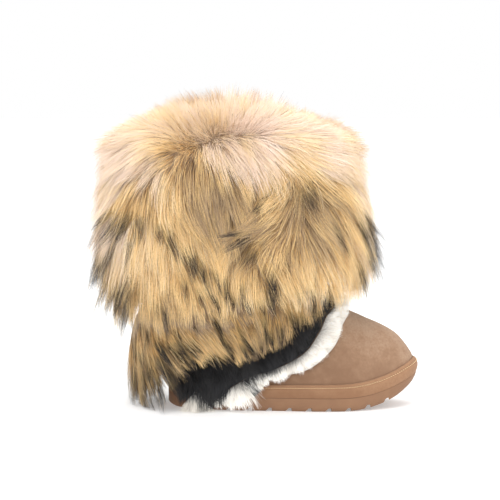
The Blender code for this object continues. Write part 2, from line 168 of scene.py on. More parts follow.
@lru_cache(maxsize=None)
def form_point(row, turn):
    """A point of the form that the suede follows: a row up the boot and a turn round it from the heel."""
    part = section(row)
    share = front_share(turn)
    x = (part.back + (part.front - part.back) * share) * SOLE_LENGTH
    side = "lateral" if math.sin(turn) >= 0 else "medial"
    foot = plan(x / SOLE_LENGTH, side) - RAND_WALL - FIT_GAP
    foot *= part.rear + (part.fore - part.rear) * share
    half = foot + (part.half * BALL_WIDTH - foot) * part.rounding
    middle = plan(x / SOLE_LENGTH, "middle") * (1 - part.rounding)
    back, front = height(part.back_rise), height(part.front_rise)
    z = back + (front - back) * share + spring(x)
    return Vector((x - HEEL_TO_ORIGIN, middle - half * math.sin(turn), z))


@lru_cache(maxsize=None)
def outward(row, turn, level=True):
    """The way out of the face; with level, it turns level on the shaft, as deep fur stands."""
    step = 0.01
    round_it = form_point(row, turn + step) - form_point(row, turn - step)
    up_it = form_point(min(row + step, LAST_ROW), turn) - form_point(max(row - step, 0), turn)
    way = round_it.cross(up_it).normalized()
    if level:
        way.z *= clamped((LEVEL_FROM + LEVEL_ROWS - row) / LEVEL_ROWS)
    return way.normalized()


def off(row, turn, out, level=True):
    """A point this far out from the suede. Below row 0 and above the collar it goes on straight."""
    on_form = clamped(row, 0.0, float(LAST_ROW))
    point = form_point(on_form, turn) + outward(on_form, turn, level) * out
    if row < 0:
        point.z += row * HANG_STEP
    if row > LAST_ROW:
        dip = CREST_DIP_BACK if math.cos(turn) > 0 else CREST_DIP_FRONT
        point.z += (row - LAST_ROW) * CREST_RISE * (1 - dip * math.cos(turn) ** 2)
    return point


def turns(count, start=0.0, end=1.0):
    """Turns round the boot; a whole ring leaves out the last, which is the first again."""
    steps = count if end - start == 1.0 else count - 1
    return [2 * math.pi * (start + (end - start) * k / steps) for k in range(count)]


def shares(steps, start=0.0, end=1.0):
    return [start + (end - start) * k / steps for k in range(steps + 1)]


def half_turn(turn):
    """The turn as degrees from the heel, the same on both sides."""
    around = math.degrees(turn) % 360
    return min(around, 360 - around)


def ease(low, high, value):
    """0 below low, 1 above high and soft between them."""
    t = clamped((value - low) / (high - low))
    return t * t * (3 - 2 * t)


def near_by(away, reach):
    """A soft hill: 1 at no distance, and next to nothing beyond twice the reach."""
    return math.exp(-((away / reach) ** 2))


# %% [markdown]
# Every skin here is a loft: rings of points joined by four-sided faces. One helper makes them all, closes
# what has to be closed, turns the faces outward, and gives the object to the boot's own body.


# %% Make a loft and hand it to the boot
def loft(name, rings, caps=None, loop=False, joined=True):
    """A mesh through rings with the same number of points."""
    shape = bmesh.new()
    made = [[shape.verts.new(point) for point in ring] for ring in rings]
    pairs = list(zip(made, made[1:])) + ([(made[-1], made[0])] if loop else [])
    around = len(rings[0])
    for low, high in pairs:
        for k in range(around if joined else around - 1):
            n = (k + 1) % around
            shape.faces.new((low[k], low[n], high[n], high[k]))
    for ring in (made[0], made[-1]) if caps == "flat" else ():
        shape.faces.new(ring)
    if caps == "ladder":
        for ring in (made[0], made[-1]):
            for k in range(around // 2):
                face = [ring[k], ring[k + 1], ring[-k - 1], ring[-k % around]]
                shape.faces.new([v for i, v in enumerate(face) if v not in face[:i]])
    if caps or loop:
        bmesh.ops.recalc_face_normals(shape, faces=shape.faces)
    mesh = bpy.data.meshes.new(name)
    shape.to_mesh(mesh)
    shape.free()
    mesh.shade_smooth()
    return mesh


def placed(name, data):
    """A new object in the scene."""
    made = bpy.data.objects.new(name, data)
    bpy.context.scene.collection.objects.link(made)
    return made


def hand_over(name, mesh, material, slot, *replaced):
    """An object of the boot's body, with its finish and what it stands for. slot is not used."""
    piece = placed(name, mesh)
    if not mesh.materials:
        mesh.materials.append(material)
    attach(piece, "root")
    if replaced:
        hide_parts(*replaced)
    print(name, "faces", len(mesh.polygons))


# %% [markdown]
# Blender's materials and its Geometry Nodes are both trees of nodes. A formula in nodes is hard to read, so
# a small class wraps a socket and lets Python's own signs add the Math and Vector Math nodes.


# %% Write node formulas as sums
def is_vector(value):
    return value.vector if isinstance(value, Wire) else isinstance(value, (tuple, Vector))


class Wire:
    """What a socket gives. Numbers and vectors can be added, multiplied and so on with Python's signs."""

    def __init__(self, bench, socket):
        self.bench = bench
        self.socket = socket
        self.vector = socket.type in ("VECTOR", "RGBA")

    def sum(self, operation, *others):
        """A Math node, or a Vector Math node where any part is a vector."""
        parts = (self, *others)
        kind = "ShaderNodeVectorMath" if any(map(is_vector, parts)) else "ShaderNodeMath"
        return self.bench.add(kind, {"operation": operation}, dict(enumerate(parts)))

    def __add__(self, other):
        return self.sum("ADD", other)

    def __sub__(self, other):
        return self.sum("SUBTRACT", other)

    def __mul__(self, other):
        if self.vector == is_vector(other):
            return self.sum("MULTIPLY", other)
        vector, factor = (self, other) if self.vector else (other, self)
        return self.bench.add("ShaderNodeVectorMath", {"operation": "SCALE"}, {0: vector, "Scale": factor})

    def __truediv__(self, other):
        return self.sum("DIVIDE", other)

    def __pow__(self, other):
        return self.sum("POWER", other)

    def __radd__(self, other):
        return self + other

    def __rmul__(self, other):
        return self * other

    def __rsub__(self, other):
        return self * -1.0 + other

    def less(self, other):
        return self.sum("LESS_THAN", other)

    def top(self, other):
        return self.sum("MAXIMUM", other)

    def clamp(self):
        return self.top(0.0).sum("MINIMUM", 1.0)

    def unit(self):
        return self.sum("NORMALIZE")

    def cross(self, other):
        return self.sum("CROSS_PRODUCT", other)

    def part(self, axis):
        """One number of a vector, by its place."""
        split = self.bench.node("ShaderNodeSeparateXYZ", {}, {0: self})
        return Wire(self.bench, split.outputs[axis])


class Bench:
    """A node tree, with one way to add a node: its type, its settings, then what goes into its sockets."""

    def __init__(self, tree):
        self.tree = tree

    def node(self, kind, settings=None, sockets=None):
        made = self.tree.nodes.new(kind)
        for name, value in (settings or {}).items():
            if name == "stops":
                self.set_stops(made.color_ramp, value)
            else:
                setattr(made, name, value)
        for key, value in (sockets or {}).items():
            self.feed(made, key, value)
        return made

    def feed(self, made, key, value):
        if isinstance(key, int):
            socket = made.inputs[key]
        else:
            socket = next(s for s in made.inputs if s.name == key and s.enabled)
        if isinstance(value, Wire):
            self.tree.links.new(value.socket, socket)
        elif socket.type == "RGBA" and len(value) == 3:
            socket.default_value = (*value, 1.0)
        else:
            socket.default_value = value

    def add(self, kind, settings=None, sockets=None, out=0):
        """The same, and gives back one of the node's results, by its place or its name."""
        made = self.node(kind, settings, sockets)
        if isinstance(out, str):
            return Wire(self, next(s for s in made.outputs if s.name == out and s.enabled))
        return Wire(self, [s for s in made.outputs if s.enabled][out])

    def set_stops(self, ramp, stops):
        """The stops of a ramp: each is a place and a colour."""
        while len(ramp.elements) < len(stops):
            ramp.elements.new(1.0)
        for element, (place, colour) in zip(ramp.elements, stops):
            element.position = place
            element.color = (*colour, 1.0)


# %% [markdown]
# Colours are named as they look on a screen, from 0 to 255, and worked out in the linear light that a
# renderer needs. Suede, rubber and fur are all matt: what tells them apart is the grain, the nap and the
# soft sheen at the edges.


# %% Colours and a plain finish
def shade(red, green, blue):
    """Linear light of a colour as a screen shows it."""

    def linear(value):
        share = value / 255
        return share / 12.92 if share <= 0.04045 else ((share + 0.055) / 1.055) ** 2.4

    return tuple(linear(value) for value in (red, green, blue))


def finish_of(name, roughness, sheen=0.0, specular=0.3):
    """A new material, its bench and its shader, with what is the same all over set on the shader."""
    made = bpy.data.materials.new(name)
    made.use_nodes = True
    bench = Bench(made.node_tree)
    shader = made.node_tree.nodes["Principled BSDF"]
    bench.feed(shader, "Roughness", roughness)
    bench.feed(shader, "Sheen Weight", sheen)
    bench.feed(shader, "Specular IOR Level", specular)
    return made, bench, shader


def mix(bench, share, first, second):
    """Two colours mixed."""
    colours = {"Factor": share, "A": first, "B": second}
    return bench.add("ShaderNodeMix", {"data_type": "RGBA"}, colours, "Result")


def speckle(bench, where, scale, detail=2.0, rough=0.5):
    """A noise between about 0 and 1."""
    return bench.add(
        "ShaderNodeTexNoise", {}, {"Vector": where, "Scale": scale, "Detail": detail, "Roughness": rough}
    )


def place_of(bench):
    return bench.add("ShaderNodeTexCoord", out="Object")


def bumped(bench, shader, height, strength, distance):
    """Fine relief on a finish."""
    bump = bench.add("ShaderNodeBump", {}, {"Height": height, "Strength": strength, "Distance": distance})
    bench.feed(shader, "Normal", bump)


# %% Suede, rubber and fleece
# The suede's light colour is painted light on top and at the toe. Its low colour is painted shade low down
# and also the nap's dark specks.
SUEDE_PAINTED_LIGHT = shade(172, 149, 127)
SUEDE_MID = shade(175, 143, 117)
SUEDE_NAP_AND_SHADE = shade(136, 106, 84)
RAND_COLOUR = shade(160, 124, 96)
RAND_NAP_AND_SHADE = shade(138, 103, 78)
RUBBER_COLOUR = shade(150, 113, 84)
RUBBER_DARK = shade(130, 96, 72)
THREAD = shade(234, 200, 158)
FLEECE_LIGHT = shade(238, 222, 196)
FLEECE_DARK = shade(206, 184, 150)
# Where the painted highlight on the toe starts, and how far it runs to full strength.
TOE_HIGHLIGHT_FROM = 0.15
TOE_HIGHLIGHT_RUN = 0.07


def suede(name, light, mid, low, ground, crown):
    """Suede: brushed nap in soft patches, with painted shade low down, painted light on top and a painted
    highlight at the toe.
    """
    made, bench, shader = finish_of(name, 0.95, sheen=0.10, specular=0.10)
    where = place_of(bench)
    patches = speckle(bench, where, 38.0, 3.0, 0.55)
    nap = speckle(bench, where, 130.0, 3.0, 0.6)
    fine = speckle(bench, where, 420.0, 3.0, 0.7)
    # Painted shade low down and painted light higher up, broken by the nap's patches.
    rise = ((where.part(2) - ground) / (crown - ground) + (patches - 0.5) * 0.8 + (nap - 0.5) * 0.7).clamp()
    # A painted highlight over the toe.
    toe = ((where.part(0) - TOE_HIGHLIGHT_FROM) / TOE_HIGHLIGHT_RUN).clamp()
    colour = mix(bench, (rise + toe * 0.25).clamp(), low, mid)
    colour = mix(bench, ((rise - 0.45) * 1.2 + toe * 0.35).clamp(), colour, light)
    colour = mix(bench, (fine - 0.38).clamp() * 1.6, colour, low)
    bench.feed(shader, "Base Color", colour)
    bumped(bench, shader, fine + patches * 0.3, 0.30, 0.0006)
    return made


SUEDE = suede("suede", SUEDE_PAINTED_LIGHT, SUEDE_MID, SUEDE_NAP_AND_SHADE, 0.03, 0.11)
# The rand is painted darker towards the sole as painted shade, and lighter at the toe as a painted highlight.
# Its dark colour is also the colour of the nap's specks.
RAND_SUEDE = suede("rand_suede", RAND_COLOUR, RAND_COLOUR, RAND_NAP_AND_SHADE, 0.01, 0.035)


def rubber():
    made, bench, shader = finish_of("rubber", 0.62, specular=0.35)
    where = place_of(bench)
    cloud = speckle(bench, where, 60.0, 3.0)
    bench.feed(shader, "Base Color", mix(bench, cloud, RUBBER_DARK, RUBBER_COLOUR))
    bumped(bench, shader, speckle(bench, where, 900.0, 2.0), 0.15, 0.0003)
    return made


def fleece():
    made, bench, shader = finish_of("fleece", 0.95, sheen=0.4, specular=0.1)
    where = place_of(bench)
    curls = speckle(bench, where, 260.0, 4.0, 0.65)
    bench.feed(shader, "Base Color", mix(bench, curls, FLEECE_DARK, FLEECE_LIGHT))
    bumped(bench, shader, curls, 0.8, 0.002)
    return made


def thread():
    made, bench, shader = finish_of("thread", 0.6)
    bench.feed(shader, "Base Color", THREAD)
    return made


RUBBER = rubber()
FLEECE = fleece()
STITCH_THREAD = thread()

# %% [markdown]
# The foot and shaft are one suede skin. It is a loft through rings up the boot, out over the collar's
# edge and down the inside, so the wall keeps its real thickness.

# %% The suede skin and the fleece inside it
SKIN_TURNS = 128
SKIN_STEPS = 3
RIM_STEPS = 4
SUEDE_SHARE = 0.5
LINING_GAP = 0.0001
LINING_FOOT = 0.25

# Creases: soft troughs, or ridges where depth is below 0. Each runs from one point to another, in x and z.
# side is -1 for the outer side, 1 for the inner side and 0 for both.
Crease = namedtuple("Crease", "side depth width start end")
CREASES = [
    Crease(0, 0.00070, 0.0065, (0.152, 0.044), (0.171, 0.086)),
    Crease(0, -0.00045, 0.0070, (0.166, 0.040), (0.186, 0.078)),
    Crease(0, 0.00040, 0.0060, (0.181, 0.040), (0.197, 0.068)),
    Crease(-1, 0.00050, 0.0060, (0.126, 0.046), (0.142, 0.070)),
    Crease(1, 0.00060, 0.0065, (0.118, 0.050), (0.146, 0.074)),
    Crease(0, 0.00080, 0.0080, (0.060, 0.078), (0.098, 0.112)),
    Crease(0, 0.00070, 0.0080, (-0.010, 0.120), (0.070, 0.132)),
    Crease(0, 0.00070, 0.0090, (-0.020, 0.175), (0.060, 0.168)),
]


def creased(point):
    """How deep the suede is pressed in here."""
    depth = 0.0
    for crease in CREASES:
        if point.y * crease.side < 0:
            continue
        start, run = Vector(crease.start), Vector(crease.end) - Vector(crease.start)
        here = Vector((point.x, point.z)) - start
        share = clamped(here.dot(run) / run.length_squared)
        depth += crease.depth * near_by((here - run * share).length, crease.width)
    return depth


def skin_point(row, turn, out):
    """A point of the suede's face, with its creases."""
    return off(row, turn, out - creased(off(row, turn, out, False)), False)


def skin_rings(outer, inner, low_row):
    """Rings up the outside at one depth, over the top edge and down the inside at another."""
    rows = [k / SKIN_STEPS for k in range(LAST_ROW * SKIN_STEPS + 1) if k / SKIN_STEPS >= low_row]
    up = [[skin_point(row, turn, outer) for turn in turns(SKIN_TURNS)] for row in rows]
    rim = []
    middle, reach = (outer + inner) / 2, (outer - inner) / 2
    for k in range(1, RIM_STEPS):
        angle = math.pi * k / RIM_STEPS
        ring = []
        for turn in turns(SKIN_TURNS):
            point = off(float(LAST_ROW), turn, middle + reach * math.cos(angle), False)
            point.z += reach * math.sin(angle)
            ring.append(point)
        rim.append(ring)
    down = [[off(row, turn, inner, False) for turn in turns(SKIN_TURNS)] for row in reversed(rows)]
    return up + rim + down


SUEDE_BACK = -UPPER_WALL * SUEDE_SHARE
skin = loft("suede_skin", skin_rings(0.0, SUEDE_BACK, 0.0), loop=True)
hand_over("suede_skin", skin, SUEDE, "suede", "upper")
lining = loft("fleece_lining", skin_rings(SUEDE_BACK - LINING_GAP, -UPPER_WALL, LINING_FOOT), loop=True)
hand_over("fleece_lining", lining, FLEECE, "fleece")

# %% [markdown]
# The rand is the suede-covered strip round the foot. Its row of stitches is the same small form again and
# again along a path, which is what Geometry Nodes do best.

# %% The rand
RAND_TURNS = 240
# The strip cut through: rows up it and shares of its thickness out, with a dent for the stitches
RAND_LOOP = [
    (0.006, 0.0), (0.5, 0.0), (0.97, 0.0), (1.00, 0.15), (0.98, 0.40),
    (0.93, 0.65), (0.86, 0.82), (0.79, 0.84), (0.74, 0.62), (0.69, 0.90),
    (0.5, 1.0), (0.3, 1.02), (0.12, 1.01), (0.02, 1.0), (0.004, 0.99),
]
TOE_BULGE_ROW = 0.50
TOE_ROUND_TOP = 0.55
TOE_ROUND_FOOT = 0.32


def toe_share(turn):
    return max(0.0, -math.cos(turn)) ** 6


def rand_wall(turn):
    return RAND_WALL + (RAND_TOE_WALL - RAND_WALL) * toe_share(turn)


def rand_point(row, out, turn):
    """A point of the rand. Round the toe it bulges most at one height."""
    rounding = TOE_ROUND_TOP if row > TOE_BULGE_ROW else TOE_ROUND_FOOT
    bulge = 1 - toe_share(turn) * rounding * ((row - TOE_BULGE_ROW) / TOE_BULGE_ROW) ** 2
    return off(row, turn, FIT_GAP + out * bulge * rand_wall(turn), False)


rand_rings = [[rand_point(row, out, turn) for turn in turns(RAND_TURNS)] for row, out in RAND_LOOP]
hand_over("rand_skin", loft("rand_skin", rand_rings, loop=True), RAND_SUEDE, "rand_suede", "rand")


# %% A run of stitches along a path
STITCH_ROW = 0.74
STITCH_OUT = 0.86
STITCH_SIZES = {"Pitch": 0.0028, "Stitch Length": 0.0015, "Thickness": 0.0012}


def group_of(name, inputs):
    """A new Geometry Nodes tree with named inputs, its bench, and its inputs as wires."""
    tree = bpy.data.node_groups.new(name, "GeometryNodeTree")
    tree.is_modifier = True
    tree.interface.new_socket(name="Geometry", in_out="INPUT", socket_type="NodeSocketGeometry")
    for label, kind in inputs.items():
        tree.interface.new_socket(name=label, in_out="INPUT", socket_type="NodeSocket" + kind)
    tree.interface.new_socket(name="Geometry", in_out="OUTPUT", socket_type="NodeSocketGeometry")
    bench = Bench(tree)
    entry = tree.nodes.new("NodeGroupInput")
    return tree, bench, {s.name: Wire(bench, s) for s in entry.outputs if s.name}


def end_group(bench, geometry, material):
    """The end of a tree: its material, then what it gives."""
    painted = bench.add("GeometryNodeSetMaterial", {}, {"Geometry": geometry, "Material": material})
    bench.node("NodeGroupOutput", {}, {"Geometry": painted})


def grow(mesh, tree, values):
    """What a tree makes of a mesh, as a plain mesh."""
    base = placed(mesh.name + "_base", mesh)
    modifier = base.modifiers.new("grow", "NODES")
    modifier.node_group = tree
    for item in tree.interface.items_tree:
        if item.in_out == "INPUT" and item.name in values:
            modifier[item.identifier] = values[item.name]
    bpy.context.view_layer.update()
    graph = bpy.context.evaluated_depsgraph_get()
    made = bpy.data.meshes.new_from_object(base.evaluated_get(graph))
    base.modifiers.remove(modifier)
    bpy.data.objects.remove(base)
    made.name = mesh.name
    return made


def stitch_tree():
    inputs = {**dict.fromkeys(STITCH_SIZES, "Float"), "Thread": "Material"}
    tree, bench, entry = group_of("stitch_run", inputs)
    path = bench.add("GeometryNodeMeshToCurve", {}, {"Mesh": entry["Geometry"]})
    spacing = {"Curve": path, "Length": entry["Pitch"]}
    spaced = bench.add("GeometryNodeResampleCurve", {"mode": "LENGTH"}, spacing)
    along = bench.add("GeometryNodeInputTangent")
    facing = bench.add("FunctionNodeAlignRotationToVector", {"axis": "X"}, {"Vector": along})
    bead = bench.add("GeometryNodeMeshUVSphere", {}, {"Segments": 6, "Rings": 4, "Radius": 0.5}, "Mesh")
    sides = {"X": entry["Stitch Length"], "Y": entry["Thickness"], "Z": entry["Thickness"]}
    size = bench.add("ShaderNodeCombineXYZ", {}, sides)
    beads = {"Points": spaced, "Instance": bead, "Rotation": facing, "Scale": size}
    laid = bench.add("GeometryNodeInstanceOnPoints", {}, beads)
    real = bench.add("GeometryNodeRealizeInstances", {}, {"Geometry": laid})
    smooth = bench.add("GeometryNodeSetShadeSmooth", {}, {"Geometry": real})
    end_group(bench, smooth, entry["Thread"])
    return tree


stitch_line = [rand_point(STITCH_ROW, STITCH_OUT, turn) for turn in turns(RAND_TURNS)]
stitch_path = bpy.data.meshes.new("rand_stitches")
stitch_path.from_pydata(stitch_line, [(k, (k + 1) % RAND_TURNS) for k in range(RAND_TURNS)], [])
stitches = grow(stitch_path, stitch_tree(), {**STITCH_SIZES, "Thread": STITCH_THREAD})
hand_over("rand_stitches", stitches, STITCH_THREAD, "rand_suede")

# %% [markdown]
# The sole is moulded in one piece and grooved straight across into lugs. It is lofted finer than the plain
# solid, and the same slanted grooves are cut out of it with an exact Boolean.

# %% The sole
FIRST_GROOVE = 0.0435
LUG_PITCH = 0.0205
CREASE_ANGLE = math.radians(35)
GROOVE_DEPTH = 0.0037
GROOVE_MOUTH = 0.0066
GROOVE_FLOOR = 0.0031
LAST_GROOVE = 0.89
EDGE_ROLL = 0.0036
HEEL_ROLL = 1.4
TOE_ROLL = 0.007
SOLE_TURNS = 160
Wall = namedtuple("Wall", "level inset")
SOLE_WALL = [
    Wall(0.0, 1.0),
    Wall(0.05, 0.68),
    Wall(0.16, 0.35),
    Wall(0.28, 0.12),
    Wall(0.40, 0.0),
    Wall(0.70, 0.0),
    Wall(0.86, 0.0),
    Wall(0.96, 0.0),
    Wall(1.03, 0.02),
]


def toe_slope(x):
    return math.atan2(spring(x + GROOVE_MOUTH) - spring(x), GROOVE_MOUTH)


def sole_edge(turn, inset):
    way = outward(0.0, turn).copy()
    way.z = 0
    way.normalize()
    return form_point(0.0, turn) + way * (FIT_GAP + rand_wall(turn) - inset)


def sole_ring(wall):
    ring = []
    for turn in turns(SOLE_TURNS):
        ends = 1 + HEEL_ROLL * max(0.0, math.cos(turn)) ** 4
        roll = TOE_ROLL * (1 - min(wall.level, 1.0)) ** 1.5
        toe = toe_share(turn) * (TOE_ROUND_FOOT * rand_wall(turn) + roll)
        point = sole_edge(turn, wall.inset * EDGE_ROLL * ends + toe)
        point.z = wall.level * OUTSOLE_THICKNESS + spring(form_point(0.0, turn).x + HEEL_TO_ORIGIN)
        ring.append(point)
    return ring


def groove_mesh(x):
    """A cutter across the sole, upright at the front and slanted at the back."""
    half, deep = GROOVE_MOUTH / 2, GROOVE_DEPTH
    slant = GROOVE_MOUTH - GROOVE_FLOOR
    outline = [(-half - slant, -deep), (half, -deep), (half, deep), (half - GROOVE_FLOOR, deep)]
    tilt = Matrix.Rotation(-toe_slope(x), 4, "Y")
    place_at = Matrix.Translation((x - HEEL_TO_ORIGIN, 0, spring(x))) @ tilt
    ends = [[place_at @ Vector((a, side * BALL_WIDTH, b)) for a, b in outline] for side in (-1, 1)]
    return loft("groove", ends, caps="flat")


def cut_sole():
    rings = [sole_ring(wall) for wall in SOLE_WALL]
    rings.append([form_point(0.0, turn) - Vector((0, 0, SEAT_GAP)) for turn in turns(SOLE_TURNS)])
    whole = placed("sole_blank", loft("sole_blank", rings, caps="ladder"))
    cutters = []
    at = FIRST_GROOVE
    while at < LAST_GROOVE * SOLE_LENGTH:
        cutters.append(placed("groove", groove_mesh(at)))
        cut = whole.modifiers.new("groove", "BOOLEAN")
        cut.operation = "DIFFERENCE"
        cut.solver = "EXACT"
        cut.object = cutters[-1]
        at += LUG_PITCH * math.cos(toe_slope(at))
    bpy.context.view_layer.update()
    made = bpy.data.meshes.new_from_object(whole.evaluated_get(bpy.context.evaluated_depsgraph_get()))
    for helper in [whole, *cutters]:
        bpy.data.objects.remove(helper)
    made.name = "sole_unit"
    made.materials.clear()
    made.shade_smooth()
    made.set_sharp_from_angle(angle=CREASE_ANGLE)
    print("grooves", len(cutters))
    return made


hand_over("sole_unit", cut_sole(), RUBBER, "rubber", "outsole")

# %% [markdown]
# The footbed keeps its plain solid. Only its finish changes, to the fleece.

# %% The footbed
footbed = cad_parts["insole"]
footbed.data.materials.clear()
footbed.data.materials.append(FLEECE)

# %% [markdown]
# Long fur lies in locks. On the boot each strip of fur is a hide with hair growing out of it: short woolly
# underfur that fills the shape, and long guard hairs that gather into pointed locks, some with black tips.
# Blender could grow this as a hair system, but that doesn't survive an export. So Geometry Nodes scatter
# points over a hide, lay a thin ribbon at each, bend it along the way the fur is combed, and pull its tip
# towards the middle of its lock.

# %% Colours of the fur, from root to tip
ROOT = shade(112, 92, 74)
PALE = shade(242, 222, 207)
CREAM = shade(242, 219, 178)
OCHRE = shade(248, 212, 148)
OCHRE_DEEP = shade(214, 170, 108)
PINK_ROOT = shade(226, 204, 186)
GREY_BEIGE = shade(196, 172, 146)
TAUPE = shade(138, 114, 90)
WOOL_AND_SHADE_TIP = shade(182, 156, 126)
BLACK = shade(36, 34, 34)
SOFT_BLACK = shade(62, 52, 46)


def coat(name, columns, painted_glow=0.0):
    """A finish read off a hair's own map: across it the kind of hair, and up it from root to tip. Its glow is
    painted light.
    """
    made, bench, shader = finish_of(name, 0.75, sheen=0.1, specular=0.25)
    # The glow is painted light, as if light shone through the hair.
    bench.feed(shader, "Emission Color", (1.0, 0.98, 0.94))
    bench.feed(shader, "Emission Strength", painted_glow)
    where = bench.add("ShaderNodeUVMap", {"uv_map": "OFBake"})
    kind, along = where.part(0), where.part(1)
    colour = None
    for place, stops in columns:
        ramp = bench.add("ShaderNodeValToRGB", {"stops": stops}, {0: along})
        if colour is None:
            colour, last = ramp, place
            continue
        colour = mix(bench, ((kind - last) / (place - last)).clamp(), colour, ramp)
        last = place
    bench.feed(shader, "Base Color", colour)
    return made


LONG_FUR = coat(
    "long_fur",
    [
        (0.0, [(0.0, PINK_ROOT), (0.35, PALE), (1.0, PALE)]),
        (0.2, [(0.0, GREY_BEIGE), (0.35, CREAM), (1.0, CREAM)]),
        (0.4, [(0.0, ROOT), (0.3, OCHRE_DEEP), (0.7, OCHRE), (1.0, OCHRE)]),
        # The grey woolly column. In the wool patches it is partly painted shade.
        (0.6, [(0.0, ROOT), (0.35, TAUPE), (0.85, WOOL_AND_SHADE_TIP), (1.0, WOOL_AND_SHADE_TIP)]),
        (0.8, [(0.0, ROOT), (0.35, OCHRE), (0.62, OCHRE), (0.74, SOFT_BLACK), (1.0, BLACK)]),
        (1.0, [(0.0, ROOT), (0.2, OCHRE_DEEP), (0.34, OCHRE_DEEP), (0.50, BLACK), (1.0, BLACK)]),
    ],
)
BLACK_FUR = coat(
    "black_fur",
    [
        (0.0, [(0.0, shade(26, 27, 29)), (1.0, shade(46, 48, 52))]),
        (1.0, [(0.0, shade(34, 33, 33)), (1.0, shade(88, 86, 86))]),
    ],
)
# The grey roots of both columns are painted shade between the strands.
WHITE_FUR = coat(
    "white_fur",
    [
        (0.0, [(0.0, shade(160, 152, 142)), (0.5, shade(250, 248, 243)), (1.0, shade(255, 255, 254))]),
        (0.7, [(0.0, shade(112, 104, 96)), (0.6, shade(208, 202, 192)), (1.0, shade(236, 232, 224))]),
    ],
    painted_glow=0.20,
)


# %% The tree that grows hair on a hide
PELT_SIZES = ("Lock Spacing", "Hair Width", "Pull", "Stray", "Fray", "Wave", "Lift", "Long Hairs")
FUR_INPUTS = {
    **dict.fromkeys(("Density", *PELT_SIZES), "Float"),
    "Steps": "Int",
    "Seed": "Int",
    "Coat": "Material",
}
HAIR_STEPS = 3
MOST_LOCKS = 40000.0
FLOOR_CLEAR = 0.0012
WAVE_SCALE = 55.0
STRAY_AT_ROOT = 0.45
FRAY_AT_TIP = 0.7
DARK_PULL = 0.80
DARKEST_WOOL = 0.66
TIP_NARROWER = 0.82
MAP_HALF = 0.004


